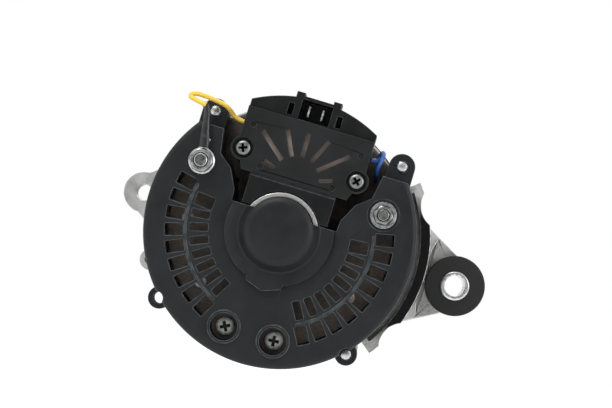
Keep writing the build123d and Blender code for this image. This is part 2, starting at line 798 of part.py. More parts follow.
with BuildPart() as drive_end_bracket:
    turn(
        (bracket_front, bracket_lip_radius), (bracket_front, bracket_radius - bracket_shoulder),
        (bracket_front + bracket_shoulder, bracket_radius), (stator_front, bracket_radius),
        (stator_front, bracket_lip_radius),
    )
    # the rim on the pivot side, scalloped above and below the web
    sector(rim_front, rim_back, bracket_radius - 2, rim_radius, -rim_half_angle, rim_half_angle)
    scallops_at = [polar(scallop_circle, angle) for angle in (-scallop_angle, scallop_angle)]
    bar(scallops_at, rim_front, rim_back, scallop_radius, mode=Mode.SUBTRACT)
    sector(
        stator_front - ear_thickness, rim_back, bracket_radius - 2, ear_rim_radius,
        180 - ear_rim_half_angle, 180 + ear_rim_half_angle,
    )
    # pivot lug with its two tapering gussets
    with BuildSketch(at(lug_front)) as pivot_web:
        with BuildLine():
            Polyline(
                (web_root, pivot_web_half + 3.6), (web_shoulder, pivot_web_half),
                (pivot_x, pivot_lug_radius), (pivot_x, -pivot_lug_radius),
                (web_shoulder, -pivot_web_half), (web_root, -pivot_web_half - 3.6), close=True,
            )
        make_face()
    extrude(pivot_web.sketch, amount=pivot_lug_length - 4, taper=3)
    # cored pockets leave a gusset above and below, and a rib in the middle
    with BuildSketch(at(lug_front + pivot_lug_length - 4)) as pockets:
        with BuildLine():
            Polyline(
                (rim_radius + 1.5, 2), (rim_radius + 1.5, pivot_web_half - 6),
                (pivot_x - pivot_lug_radius - 1.5, pivot_lug_radius), (pivot_x - pivot_lug_radius - 1.5, 2),
                close=True,
            )
        make_face()
        mirror(about=Plane.XZ)
    extrude(pockets.sketch, amount=-pivot_pocket, mode=Mode.SUBTRACT)
    bar([(pivot_x, 0)], lug_front, lug_back, pivot_lug_radius)
    # adjusting ear
    with BuildSketch(at(stator_front - ear_thickness)) as ear:
        with BuildLine():
            Polyline(
                (ear_x, ear_radius), (4 - bracket_radius, ear_web_half),
                (4 - bracket_radius, -ear_web_half), (ear_x, -ear_radius), close=True,
            )
        make_face()
        with Locations((ear_x, 0)):
            Circle(ear_radius)
    extrude(ear.sketch, amount=ear_thickness)
    # bosses for the through bolts, and the groove that leaves the rim a thin wall
    bar(bolts_at, bracket_front + 2, stator_front, bolt_boss_radius)
    groove_floor = stator_front - rim_groove_depth
    groove_half_angle = rim_half_angle - rim_groove_end
    sector(
        groove_floor, rim_back + 1, bracket_radius, bracket_radius + rim_groove_width,
        -groove_half_angle, groove_half_angle, mode=Mode.SUBTRACT,
    )
    # inside: room for the end turns, and the hub that holds the bearing
    turn(
        (bracket_front + bracket_front_wall, hub_radius), (bracket_front + bracket_front_wall, skirt_inner),
        (stator_front + 1, skirt_inner), (stator_front + 1, 0), (hub_back, 0), (hub_back, hub_radius),
        mode=Mode.SUBTRACT,
    )
    ring(front_bearing_front, hub_back, 0, front_bearing_radius, mode=Mode.SUBTRACT)
    ring(stator_front, stator_front + rim_overlap + 1, 0, stator_radius + press, mode=Mode.SUBTRACT)
    # cooling windows: in the front wall, and round the skirt above and below
    with BuildSketch(at(bracket_front)) as front_windows:
        with PolarLocations(window_circle, window_count, start_angle=180 / window_count):
            Trapezoid(window_width, skirt_inner - hub_radius - 2 * window_room, 82, rotation=-90)
        fillet(front_windows.vertices(), window_corner)
    extrude(front_windows.sketch, amount=bracket_front_wall, mode=Mode.SUBTRACT)
    skirt_windows_front = bracket_front + bracket_front_wall + 3
    with BuildSketch(at(skirt_windows_front)) as skirt_windows:
        for angle in skirt_window_angles:
            with Locations(Location(polar(bracket_radius, angle), angle)):
                Rectangle(*skirt_window)
    extrude(skirt_windows.sketch, amount=stator_front - 5 - skirt_windows_front, mode=Mode.SUBTRACT)
    # a rib inside each spoke, from the hub to the skirt
    with BuildSketch(at(bracket_front + bracket_front_wall)) as spoke_ribs:
        with PolarLocations(window_circle, window_count):
            Rectangle(skirt_inner - hub_radius + 1, spoke_rib)
    extrude(spoke_ribs.sketch, amount=spoke_rib_height)
    # holes
    bar([(pivot_x, 0)], lug_front, lug_back, bush_bore_radius, mode=Mode.SUBTRACT)
    bar([(ear_x, 0)], stator_front - ear_thickness, stator_front, ear_hole_radius, mode=Mode.SUBTRACT)
    bar(bolts_at, bracket_front, stator_front + rim_overlap, bolt_radius + 0.15, mode=Mode.SUBTRACT)
    bar(bolts_at, bracket_front, bolt_seat, bolt_boss_radius - 0.3, mode=Mode.SUBTRACT)
    bar(
        retainer_screws_at, hub_back - retainer_screw_depth - 0.5, hub_back, retainer_screw_radius + press,
        mode=Mode.SUBTRACT,
    )
finish(drive_end_bracket, "drive_end_bracket")

with BuildPart() as bearing_retainer_plate:
    with BuildSketch(at(hub_back)):
        Circle(front_bearing_radius + 2)
        with Locations(*retainer_screws_at):
            Circle(retainer_ear_radius)
        Circle(front_race_inner + 1.5, mode=Mode.SUBTRACT)
        with Locations(*retainer_screws_at):
            Circle(retainer_screw_radius + 0.2, mode=Mode.SUBTRACT)
    extrude(amount=retainer_thickness)
finish(bearing_retainer_plate, "bearing_retainer_plate")

with BuildPart() as retainer_screws:
    head_seat = hub_back + retainer_thickness
    bar(retainer_screws_at, hub_back - retainer_screw_depth, head_seat, retainer_screw_radius)
    bar(retainer_screws_at, head_seat, head_seat + retainer_head_height, retainer_head_radius)
finish(retainer_screws, "retainer_screws")

with BuildPart() as through_bolts:
    hexagon(bolts_at, bolt_seat - bolt_head_height, bolt_seat, bolt_head_across_flats)
    bar(cover_bolts_at, bolt_seat, lug_face + bolt_tip, bolt_radius)
    bar([polar(bolt_circle, short_bolt_angle)], bolt_seat, rear_wall_front, bolt_radius)
finish(through_bolts, "through_bolts")

with BuildPart() as pivot_bush:
    bar([(pivot_x, 0)], lug_front, lug_back, bush_bore_radius - press)
    bar([(pivot_x, 0)], lug_back, lug_back + bush_flange, bush_flange_radius)
    bar([(pivot_x, 0)], lug_front, lug_back + bush_flange, sleeve_radius + press, mode=Mode.SUBTRACT)
    fillet(pivot_bush.edges().group_by(Axis.Y)[0].sort_by(SortBy.RADIUS)[-1], 1.0)
finish(pivot_bush, "pivot_bush")

with BuildPart() as pivot_sleeve:
    bar([(pivot_x, 0)], lug_front - sleeve_proud, lug_back + bush_flange + sleeve_proud, sleeve_radius)
    bar(
        [(pivot_x, 0)], lug_front - sleeve_proud, lug_back + bush_flange + sleeve_proud, pivot_bore_radius,
        mode=Mode.SUBTRACT,
    )
    chamfer(pivot_sleeve.edges().group_by(Axis.Y)[0].sort_by(SortBy.RADIUS)[-1], 0.5)
finish(pivot_sleeve, "pivot_sleeve")

# ================================================================ rear bracket
with BuildPart() as rear_bracket:
    turn(
        (stator_back, rear_skirt_radius - rear_skirt_wall), (stator_back, rear_skirt_radius),
        (rear_wall_back - 2, rear_skirt_radius), (rear_wall_back, rear_skirt_radius - 2),
        (rear_wall_back, boss_radius), (boss_back, boss_radius), (boss_back, rear_bearing_radius),
        (rear_bearing_front, rear_bearing_radius), (rear_bearing_front, boss_lip_radius),
        (boss_front, boss_lip_radius), (boss_front, boss_radius + 3),
        (rear_wall_front, boss_radius + 4), (rear_wall_front, rear_skirt_radius - rear_skirt_wall),
    )
    with BuildSketch(at(rear_wall_front)) as rear_windows:
        with PolarLocations(rear_window_circle, rear_window_count, start_angle=180 / rear_window_count):
            Trapezoid(rear_window_width, rear_window_height, 80, rotation=-90)
        fillet(rear_windows.vertices(), window_corner)
    extrude(rear_windows.sketch, amount=rear_wall, mode=Mode.SUBTRACT)
    bar(bolts_at, stator_back, rear_wall_front, bolt_boss_radius)
    bar(regulator_screws_at, rear_wall_front, body_front, screw_post_radius)
    bar(access_holes_at, rear_wall_front, plate_front, pillar_radius)
    bar(mirrored_studs, rear_wall_front, plate_front, screw_post_radius)
    bar(
        [polar(diode_circle, angle) for angle in negative_diode_angles], rear_wall_front - 1, plate_front,
        diode_radius + loose, mode=Mode.SUBTRACT,
    )
    bar(bolts_at, stator_back, rear_wall_front, bolt_radius + press, mode=Mode.SUBTRACT)
    bar(regulator_screws_at, rear_wall_front + 1, body_front, screw_shank_radius + press, mode=Mode.SUBTRACT)
    bar(access_holes_at, rear_wall_front + 1, plate_front, rectifier_screw_radius + press, mode=Mode.SUBTRACT)
    window_front = rear_bearing_back + 1.2
    with BuildSketch(Plane.XY.offset(brush_window_foot)) as brush_window:
        with Locations((0, -(window_front + shaft_back) / 2)):
            Rectangle(brush_window_width, shaft_back - window_front)
    extrude(brush_window.sketch, amount=boss_radius, mode=Mode.SUBTRACT)
finish(rear_bracket, "rear_bracket")

# ================================================================ rectifier


def cover_plan(inset):
    """The horseshoe outline of the rear cover, drawn smaller by an inset."""
    opening = [
        (arm_inner, arm_top), arm_neck, arm_shoulder, arm_root, (arm_root[0] - 0.4, flange_chord),
    ]
    Circle(cover_radius - inset)
    with BuildSketch(mode=Mode.PRIVATE) as gap:
        with BuildLine():
            Polyline(
                (-90, 90), (-90, arm_top), *[(-x, y) for x, y in opening],
                *reversed(opening), (90, arm_top), (90, 90), close=True,
            )
        make_face()
        if inset > 0:
            offset(amount=inset, kind=Kind.INTERSECTION)
    add(gap.sketch, mode=Mode.SUBTRACT)


def rectifier_plate(front, back, studs_at, lead_angles, diode_angles, reach):
    """A horseshoe plate inside the cover, with room for studs, screws and diodes."""
    with BuildSketch(at(front)) as plate:
        cover_plan(cover_wall + plate_clearance)
        with BuildSketch(mode=Mode.PRIVATE) as outer_plan:
            Circle(reach)
            with Locations(*access_holes_at):
                Circle(plate_pad_radius)
        add(outer_plan.sketch, mode=Mode.INTERSECT)
        Circle(plate_inner_radius, mode=Mode.SUBTRACT)
        with Locations(*access_holes_at):
            Circle(rectifier_screw_radius + 0.3, mode=Mode.SUBTRACT)
        with Locations(*[polar(diode_circle, angle) for angle in diode_angles]):
            Circle(diode_radius + press, mode=Mode.SUBTRACT)
        with Locations(*[polar(diode_circle, angle) for angle in lead_angles]):
            Circle(diode_lead_radius + lead_hole, mode=Mode.SUBTRACT)
        for place, hole in studs_at:
            with Locations(place):
                Circle(hole, mode=Mode.SUBTRACT)
    extrude(plate.sketch, amount=back - front)


output_stud_at, excitation_stud_at = mirrored_studs
stud_front = plate_back + 1

with BuildPart() as negative_heat_sink:
    rectifier_plate(
        plate_front, plate_back, [(output_stud_at, stud_hole), (excitation_stud_at, stud_hole - 1)],
        (), negative_diode_angles, cover_radius,
    )
finish(negative_heat_sink, "negative_heat_sink")

with BuildPart() as positive_heat_sink:
    rectifier_plate(
        upper_plate_front, upper_plate_back,
        [(output_stud_at, output_stud_radius + press), (excitation_stud_at, stud_hole - 1)],
        negative_diode_angles, positive_diode_angles, plate_reach,
    )
finish(positive_heat_sink, "positive_heat_sink")

with BuildPart() as rectifier_board:
    rectifier_plate(
        upper_plate_back, board_back,
        [(output_stud_at, output_stud_radius + 0.3), (excitation_stud_at, excitation_stud_radius + press)],
        negative_diode_angles, (), plate_reach,
    )
    bar(
        [polar(diode_circle, angle) for angle in positive_diode_angles], upper_plate_back, board_back, 3.0,
        mode=Mode.SUBTRACT,
    )
finish(rectifier_board, "rectifier_board")

with BuildPart() as rectifier_bushes:
    bar(access_holes_at, plate_back, upper_plate_front, pillar_radius)
    bar(mirrored_studs, plate_back, upper_plate_front, stud_hole + 0.1)
    bar(access_holes_at, plate_back, upper_plate_front, rectifier_screw_radius + 0.2, mode=Mode.SUBTRACT)
    bar([output_stud_at], stud_front, upper_plate_front, output_stud_radius + press, mode=Mode.SUBTRACT)
    bar(
        [excitation_stud_at], stud_front, upper_plate_front, excitation_stud_radius + press,
        mode=Mode.SUBTRACT,
    )
finish(rectifier_bushes, "rectifier_bushes")

with BuildPart() as rectifier_screws:
    bar(access_holes_at, rear_wall_front + 1.5, board_back, rectifier_screw_radius)
    bar(access_holes_at, board_back, board_back + rectifier_head_height, rectifier_head_radius)
    with BuildSketch(at(board_back + rectifier_head_height)) as cross_recess:
        with Locations(*access_holes_at):
            Rectangle(recess_length, recess_width)
            Rectangle(recess_width, recess_length)
    extrude(cross_recess.sketch, amount=-recess_depth, mode=Mode.SUBTRACT)
finish(rectifier_screws, "rectifier_screws")


def diode_row(angles, plate, lead_end):
    """Press-in diodes with their leads, their backs level with the plate."""
    places = [polar(diode_circle, angle) for angle in angles]
    bar(places, plate - diode_height, plate, diode_radius)
    bar(places, plate, lead_end, diode_lead_radius)


with BuildPart() as positive_diodes:
    diode_row(positive_diode_angles, upper_plate_back, board_back + diode_lead_past)
finish(positive_diodes, "positive_diodes")

with BuildPart() as negative_diodes:
    diode_row(negative_diode_angles, plate_back, board_back + diode_lead_past)
finish(negative_diodes, "negative_diodes")

# ================================================================ rear cover


def vent_row(row, width, count, first, last):
    """One side's row of radial vents; the other side is its mirror image."""
    middle = (row[0] + row[1]) / 2
    for index in range(count):
        angle = first + (last - first) * index / max(count - 1, 1)
        for place in (angle, 180 - angle):
            with Locations(Location(polar(middle, place), place)):
                Rectangle(row[1] - row[0], width)


skirt_split = rear_wall_back + loose
top_lugs_at = [polar(bolt_circle, angle) for angle in top_bolt_angles]
bottom_lug_at = [polar(bolt_circle, bottom_bolt_angle)]
empty_lug_at = [polar(bolt_circle, empty_lug_angle)]
with BuildPart() as rear_cover:
    with BuildSketch(at(cover_front)) as shell_plan:
        cover_plan(0)
        fillet(shell_plan.vertices().filter_by(lambda v: v.Z > flange_chord + 1), 1.8)
    extrude(shell_plan.sketch, amount=cover_face - cover_front)
    fillet(
        rear_cover.faces().sort_by(Axis.Y)[0].edges().filter_by(GeomType.CIRCLE).filter_by(
            lambda edge: edge.radius > cover_radius - 1
        ),
        cover_edge,
    )
    # lugs: three stand over the through bolts, the fourth is a bare eyelet
    bar(top_lugs_at, rear_wall_front + loose, lug_face, top_lug_radius)
    with BuildSketch(at(rear_wall_front + loose)) as lug_necks:
        for x, y in top_lugs_at:
            with Locations((x, (arm_top - cover_wall + y) / 2)):
                Rectangle(2 * top_lug_radius, y - arm_top + cover_wall)
    extrude(lug_necks.sketch, amount=lug_face - rear_wall_front - loose)
    bar(bottom_lug_at, rear_wall_front + loose, lug_face, bottom_lug_radius)
    bar(empty_lug_at, lug_face - lug_length, lug_face, bottom_lug_radius)
    # the walls along the opening end above the rear bracket, the outer skirt goes on to the stator
    with BuildSketch(at(skirt_split)) as hollow_plan:
        cover_plan(cover_wall)
    extrude(hollow_plan.sketch, amount=cover_face - cover_wall - skirt_split, mode=Mode.SUBTRACT)
    bar([(0, 0)], cover_front - 1, skirt_split, cover_radius - cover_wall, mode=Mode.SUBTRACT)
    bar(bolts_at, cover_front - 1, rear_wall_front + loose, bolt_boss_radius + loose, mode=Mode.SUBTRACT)
    bar([*cover_bolts_at, *empty_lug_at], cover_front, lug_face + 1, bolt_radius + 0.2, mode=Mode.SUBTRACT)
    bar([*bottom_lug_at, *empty_lug_at], lug_face, cover_face + 1, bolt_radius + 0.5, mode=Mode.SUBTRACT)
    # rims round the two screwdriver holes, and the ridges between the rows of vents
    cover_inner_face = cover_face - cover_wall
    bar(access_holes_at, cover_inner_face, cover_face + access_rim_height, access_rim_radius)
    bar(
        access_holes_at, cover_inner_face, cover_face + access_rim_height, access_hole_radius,
        mode=Mode.SUBTRACT,
    )
    ridge_outer = ridge_radius + ridge_width
    for first, last in (ridge_angles, (180 - ridge_angles[1], 180 - ridge_angles[0])):
        sector(cover_face - 1, cover_face + ridge_height, ridge_radius, ridge_outer, first, last)
    # vents, boss hole and stud holes
    with BuildSketch(at(cover_face)) as openings:
        vent_row(vent_outer_row, vent_outer_width, vent_outer_count, vent_outer_first, vent_outer_last)
        vent_row(vent_inner_row, vent_inner_width, vent_inner_count, vent_inner_first, vent_inner_last)
        vent_row(vent_inner_row, vent_square_width, 1, vent_square_angle, vent_square_angle)
        Circle(boss_radius + loose)
        with Locations(output_stud_at):
            Circle(output_stud_radius + 0.3)
        with Locations(excitation_stud_at):
            Circle(excitation_stud_radius + 0.3)
    extrude(openings.sketch, amount=-cover_face + skirt_split, mode=Mode.SUBTRACT)
    bar([excitation_stud_at], cover_face - 1, cover_face, washer_radius + 1.2, mode=Mode.SUBTRACT)
finish(rear_cover, "rear_cover")

# ================================================================ slip-ring cap
cap_top = cover_face + cap_height
with BuildPart() as slip_ring_cap:
    with BuildSketch(SECTION) as cap_profile:
        with BuildLine():
            Polyline(
                (boss_back + loose, 0), (boss_back + loose, boss_radius + loose),
                (cover_face, boss_radius + loose), (cover_face, cap_flange_radius),
                (cover_face + cap_flange, cap_flange_radius),
                (cover_face + cap_flange, cap_flank_radius + 0.4), (cap_top - 0.6, cap_top_radius + 4.6),
                (cap_top, cap_top_radius - 4), (cap_top, 0), close=True,
            )
        make_face()
        for corner, radius in (
            ((cover_face + cap_flange, cap_flange_radius), 0.6),
            ((cover_face + cap_flange, cap_flank_radius + 0.4), cap_foot),
            ((cap_top - 0.6, cap_top_radius + 4.6), cap_crown),
        ):
            fillet(cap_profile.vertices().sort_by_distance(corner)[0], radius)
    revolve(cap_profile.sketch, axis=Axis.Y)
    with BuildSketch(at(cover_face)) as cap_tab:
        with BuildLine():
            Polyline(
                (-cap_tab_width / 2, 0), (-cap_tab_width / 2, -cap_tab_shoulder), (0, -cap_tab_reach),
                (cap_tab_width / 2, -cap_tab_shoulder), (cap_tab_width / 2, 0), close=True,
            )
        make_face()
        Circle(boss_radius + loose, mode=Mode.SUBTRACT)
    extrude(cap_tab.sketch, amount=cap_flange)
    with BuildSketch(at(cover_face)) as above_chord:
        with Locations((0, flange_chord + cap_flange_radius)):
            Rectangle(4 * cap_flange_radius, 2 * cap_flange_radius)
        Circle(cap_neck_radius, mode=Mode.SUBTRACT)
    extrude(above_chord.sketch, amount=cap_height + 1, mode=Mode.SUBTRACT)
    ring(shaft_back + 0.8, boss_back + loose + 0.5, 0, cap_neck_radius)
    ring(shaft_back, boss_back + loose + cap_wall, 0, cap_neck_radius - cap_wall, mode=Mode.SUBTRACT)
finish(slip_ring_cap, "slip_ring_cap")

# ================================================================ brushes, holder, regulator
brush_foot = slip_ring_radius + running
first_brush_middle = first_ring + slip_ring_width / 2
second_brush_middle = second_ring + slip_ring_width / 2
well_top = brush_foot + brush_length + spring_length + 0.2
snout_front = rear_bearing_back + 1.6
snout_back = rings_back + 0.4
snout_half_width = brush_width / 2 + brush_room + holder_wall
snout_foot = 10.4

with BuildPart() as brush_holder:
    # snout with two wells that reaches through the boss to the slip rings
    with BuildSketch(at(snout_front)) as snout:
        with Locations((0, (snout_foot + well_top + 2) / 2)):
            Rectangle(2 * snout_half_width, well_top + 2 - snout_foot)
    extrude(snout.sketch, amount=snout_back - snout_front)
    # band that shows above the dome
    with BuildSketch(at(snout_back - band_root)) as band:
        with Locations((0, (band_top + band_bottom) / 2)):
            Rectangle(2 * band_half_width, band_top - band_bottom)
        Circle(band_cutout_radius, mode=Mode.SUBTRACT)
    extrude(band.sketch, amount=band_face - snout_back + band_root)
    chamfer(
        brush_holder.faces().sort_by(Axis.Y)[0].edges().sort_by(Axis.Z)[-1], length=1.0
    )
    for middle in (first_brush_middle, second_brush_middle):
        with BuildSketch(Plane.XY) as well:
            with Locations((0, -middle)):
                Rectangle(brush_width + 2 * brush_room, brush_thickness + 2 * brush_room)
        extrude(well.sketch, amount=well_top, mode=Mode.SUBTRACT)
finish(brush_holder, "brush_holder")


def brush(middle):
    """A carbon brush whose foot is worn to the slip ring."""
    with BuildSketch(Plane.XY.offset(slip_ring_radius - 1.5)) as block:
        with Locations((0, -middle)):
            Rectangle(brush_width, brush_thickness)
    extrude(block.sketch, amount=brush_length + 1.5)
    ring(middle - brush_thickness, middle + brush_thickness, 0, brush_foot, mode=Mode.SUBTRACT)


def brush_spring(middle):
    """The coil spring on top of a brush."""
    foot = slip_ring_radius + brush_length + spring_wire + 0.05
    pitch = (spring_length - 2 * spring_wire - 0.2) / spring_turns
    helix = Helix(pitch, pitch * spring_turns, spring_radius, center=(0, -middle, foot), mode=Mode.PRIVATE)
    with BuildSketch(Plane(helix @ 0, z_dir=helix % 0)) as wire:
        Circle(spring_wire)
    sweep(wire.sketch, path=helix, is_frenet=True)


with BuildPart() as front_brush:
    brush(first_brush_middle)
finish(front_brush, "front_brush")

with BuildPart() as rear_brush:
    brush(second_brush_middle)
finish(rear_brush, "rear_brush")

with BuildPart() as front_brush_spring:
    brush_spring(first_brush_middle)
finish(front_brush_spring, "front_brush_spring")

with BuildPart() as rear_brush_spring:
    brush_spring(second_brush_middle)
finish(rear_brush_spring, "rear_brush_spring")


def regulator_plan(top):
    """Front outline of the regulator: a plate with a rounded lobe at each screw."""
    Polygon(
        (-regulator_half_width, top), (-regulator_half_width, regulator_screw[1] + 3),
        (-regulator_foot[0], regulator_foot[1]), (regulator_foot[0], regulator_foot[1]),
        (regulator_half_width, regulator_screw[1] + 3), (regulator_half_width, top), align=None,
    )
    with Locations(*regulator_screws_at):
        Circle(regulator_lobe_radius)


sink_back = body_back - loose
sink_front = sink_back - heat_sink_plate
with BuildPart() as regulator_body:
    with BuildSketch(at(body_front)) as body_plan:
        regulator_plan(cover_radius)
        Circle(cover_radius, mode=Mode.INTERSECT)
    extrude(body_plan.sketch, amount=regulator_depth)
    # socket housing, proud of the top and open to the rear
    with BuildSketch(at(body_back - socket_depth - socket_wall)) as socket_housing:
        with Locations((0, (socket_bottom + socket_top + socket_wall) / 2)):
            Rectangle(2 * (socket_half_width + socket_wall), socket_top + socket_wall - socket_bottom)
        with GridLocations(2 * (socket_half_width + socket_wall), 0, 2, 1):
            with Locations((0, socket_top)):
                Rectangle(2 * socket_post, 2 * socket_post_height)
    extrude(socket_housing.sketch, amount=socket_depth + socket_wall)
    with BuildSketch(at(body_back - socket_depth)) as socket:
        with Locations((0, (socket_bottom + socket_top) / 2)):
            Rectangle(2 * socket_half_width, socket_top - socket_bottom)
    extrude(socket.sketch, amount=socket_depth, mode=Mode.SUBTRACT)
    # dark slots beside the socket
    with BuildSketch(at(body_back - side_slot_depth)) as side_slots:
        with GridLocations(side_slot_spacing, 0, 2, 1):
            with Locations((0, side_slot_middle)):
                Rectangle(*side_slot)
    extrude(side_slots.sketch, amount=side_slot_depth, mode=Mode.SUBTRACT)
    # pocket for the heat sink plate
    with BuildSketch(at(sink_front - loose)) as sink_pocket:
        with Locations((0, heat_sink_middle)):
            Rectangle(2 * (heat_sink_half_width + loose), heat_sink_height + 2 * loose)
    extrude(sink_pocket.sketch, amount=body_back - sink_front + loose, mode=Mode.SUBTRACT)
    # room for the brush holder's snout, and the screw holes
    snout_room_foot = regulator_foot[1] - 4
    snout_room_top = well_top + 2
    with BuildSketch(at(body_front)) as snout_room:
        with Locations((0, (snout_room_foot + snout_room_top) / 2)):
            Rectangle(2 * (snout_half_width + loose), snout_room_top - snout_room_foot + 2 * loose)
    extrude(snout_room.sketch, amount=snout_back + loose - body_front, mode=Mode.SUBTRACT)
    bar(regulator_screws_at, body_front, body_back, screw_shank_radius + 0.2, mode=Mode.SUBTRACT)
finish(regulator_body, "regulator_body")

with BuildPart() as regulator_heat_sink:
    with BuildSketch(at(sink_front)):
        with Locations((0, heat_sink_middle)):
            Rectangle(2 * heat_sink_half_width, heat_sink_height)
    extrude(amount=heat_sink_plate)
finish(regulator_heat_sink, "regulator_heat_sink")

with BuildPart() as regulator_cover:
    with BuildSketch(at(body_back)) as plate_plan:
        regulator_plan(regulator_top)
        with Locations(*regulator_screws_at):
            Circle(screw_shank_radius + 0.2, mode=Mode.SUBTRACT)
        for angle, length in sun_slots:
            for side in (90 - angle, 90 + angle):
                if angle == 0 and side != 90:
                    continue
                middle = (sun_inner + length) / 2
                x, y = polar(middle, side)
                with Locations(Location((x, y + sun_centre), side)):
                    Rectangle(length - sun_inner, sun_slot_width, mode=Mode.SUBTRACT)
    extrude(plate_plan.sketch, amount=regulator_plate)
    bar(
        regulator_screws_at, body_back + screw_seat, regulator_face, regulator_recess_radius,
        mode=Mode.SUBTRACT,
    )
    dimples_at = [(side * x, y) for x, y in regulator_dimples for side in (-1, 1)]
    bar(dimples_at, regulator_face - dimple_depth, regulator_face, dimple_radius, mode=Mode.SUBTRACT)
finish(regulator_cover, "regulator_cover")

with BuildPart() as regulator_screws:
    bar(regulator_screws_at, rear_wall_front + 1.5, body_back + screw_seat, screw_shank_radius)
    bar(
        regulator_screws_at, body_back + screw_seat, body_back + screw_seat + screw_head_height,
        screw_head_radius,
    )
    fillet(regulator_screws.faces().group_by(Axis.Y)[0].edges(), 0.6)
finish(regulator_screws, "regulator_screws")

with BuildPart() as connector_blades:
    with BuildSketch(at(body_back - socket_depth)) as blade_plan:
        with GridLocations(blade_spacing, 0, 2, 1):
            with Locations((0, (socket_bottom + socket_top) / 2)):
                Rectangle(blade_thickness, blade_width)
    extrude(blade_plan.sketch, amount=blade_length)
finish(connector_blades, "connector_blades")

# ================================================================ terminals
terminal_back = cover_face + terminal_thickness
output_nut_back = terminal_back + output_nut_height
washer_seat = cover_face - 1

with BuildPart() as output_stud:
    bar([output_stud_at], stud_front, output_nut_back + stud_past_nut, output_stud_radius)
    chamfer(output_stud.faces().sort_by(Axis.Y)[0].edges(), 0.6)
finish(output_stud, "output_stud")

with BuildPart() as output_nut:
    bar([output_stud_at], terminal_back, terminal_back + 1.2, output_nut_flange)
    hexagon([output_stud_at], terminal_back + 1.2, output_nut_back, output_nut_across_flats)
    bar([output_stud_at], terminal_back, output_nut_back, output_stud_radius + press, mode=Mode.SUBTRACT)
finish(output_nut, "output_nut")

with BuildPart() as excitation_stud:
    excitation_nut_back = washer_seat + washer_thickness + excitation_nut_height
    bar([excitation_stud_at], stud_front, excitation_nut_back + stud_past_nut, excitation_stud_radius)
    chamfer(excitation_stud.faces().sort_by(Axis.Y)[0].edges(), 0.5)
finish(excitation_stud, "excitation_stud")

with BuildPart() as excitation_washer:
    bar([excitation_stud_at], washer_seat, washer_seat + washer_thickness, washer_radius)
    bar(
        [excitation_stud_at], washer_seat, washer_seat + washer_thickness, excitation_stud_radius + press,
        mode=Mode.SUBTRACT,
    )
finish(excitation_washer, "excitation_washer")

with BuildPart() as excitation_nut:
    nut_start = washer_seat + washer_thickness
    hexagon([excitation_stud_at], nut_start, nut_start + excitation_nut_height, excitation_nut_across_flats)
    bar(
        [excitation_stud_at], nut_start, nut_start + excitation_nut_height, excitation_stud_radius + press,
        mode=Mode.SUBTRACT,
    )
finish(excitation_nut, "excitation_nut")

with BuildPart() as ring_terminal:
    with BuildSketch(at(cover_face)) as eyelet:
        with Locations(output_stud_at):
            Circle(terminal_radius)
        with Locations((output_stud_at[0] - 1.0, output_stud_at[1] + 6.5)):
            Rectangle(*terminal_tail, rotation=6)
        with Locations(output_stud_at):
            Circle(output_stud_radius + 0.2, mode=Mode.SUBTRACT)
    extrude(eyelet.sketch, amount=terminal_thickness)
finish(ring_terminal, "ring_terminal")

# ================================================================ leads
with BuildPart() as yellow_wire:
    yellow_length, yellow_bend = tube(yellow_route, yellow_radius)
finish(yellow_wire, "yellow_wire")

with BuildPart() as heat_shrink_sleeve:
    tube(sleeve_route, sleeve_tube_radius)
finish(heat_shrink_sleeve, "heat_shrink_sleeve")

with BuildPart() as blue_wire:
    blue_length, blue_bend = tube(blue_route, blue_radius)
finish(blue_wire, "blue_wire")

print(f"yellow wire {yellow_length:.0f} mm long, tightest bend {yellow_bend:.1f} mm")
print(f"blue wire {blue_length:.0f} mm long, tightest bend {blue_bend:.1f} mm")
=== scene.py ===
import json
from math import cos, pi, radians, sin, tan

import bpy
from mathutils import Matrix, Vector

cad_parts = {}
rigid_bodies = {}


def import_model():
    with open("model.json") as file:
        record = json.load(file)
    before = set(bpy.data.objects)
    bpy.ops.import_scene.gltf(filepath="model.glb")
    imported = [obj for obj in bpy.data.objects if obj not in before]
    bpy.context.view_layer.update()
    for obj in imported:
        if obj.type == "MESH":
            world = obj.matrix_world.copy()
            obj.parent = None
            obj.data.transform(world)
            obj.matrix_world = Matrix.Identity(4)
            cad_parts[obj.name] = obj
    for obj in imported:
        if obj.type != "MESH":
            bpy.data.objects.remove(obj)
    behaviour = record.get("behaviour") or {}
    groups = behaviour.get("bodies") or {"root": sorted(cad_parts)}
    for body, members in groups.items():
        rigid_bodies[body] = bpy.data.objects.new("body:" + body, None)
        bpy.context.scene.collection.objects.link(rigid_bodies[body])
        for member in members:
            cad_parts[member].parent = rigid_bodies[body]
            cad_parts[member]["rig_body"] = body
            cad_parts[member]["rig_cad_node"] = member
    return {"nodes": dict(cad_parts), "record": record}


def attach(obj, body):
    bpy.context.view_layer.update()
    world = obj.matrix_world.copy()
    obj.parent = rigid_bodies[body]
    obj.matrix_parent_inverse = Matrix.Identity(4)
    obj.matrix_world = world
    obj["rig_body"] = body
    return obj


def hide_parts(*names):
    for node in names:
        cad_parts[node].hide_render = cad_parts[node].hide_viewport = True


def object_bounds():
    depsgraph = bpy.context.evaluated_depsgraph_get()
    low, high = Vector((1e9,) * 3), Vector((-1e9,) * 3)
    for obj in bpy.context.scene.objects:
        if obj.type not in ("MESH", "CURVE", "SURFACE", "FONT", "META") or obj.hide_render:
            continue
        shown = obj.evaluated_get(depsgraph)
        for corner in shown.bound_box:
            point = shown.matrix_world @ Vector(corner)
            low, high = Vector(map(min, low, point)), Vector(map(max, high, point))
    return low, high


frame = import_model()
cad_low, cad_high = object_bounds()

bl_info = {
    "name": "Alternator dressing",
    "version": (1, 0, 0),
    "blender": (4, 5, 0),
    "location": "3D View > Sidebar > Alternator",
    "description": "Finishes, worn edges, fasteners, leads and windings for a car alternator",
    "category": "Object",
}

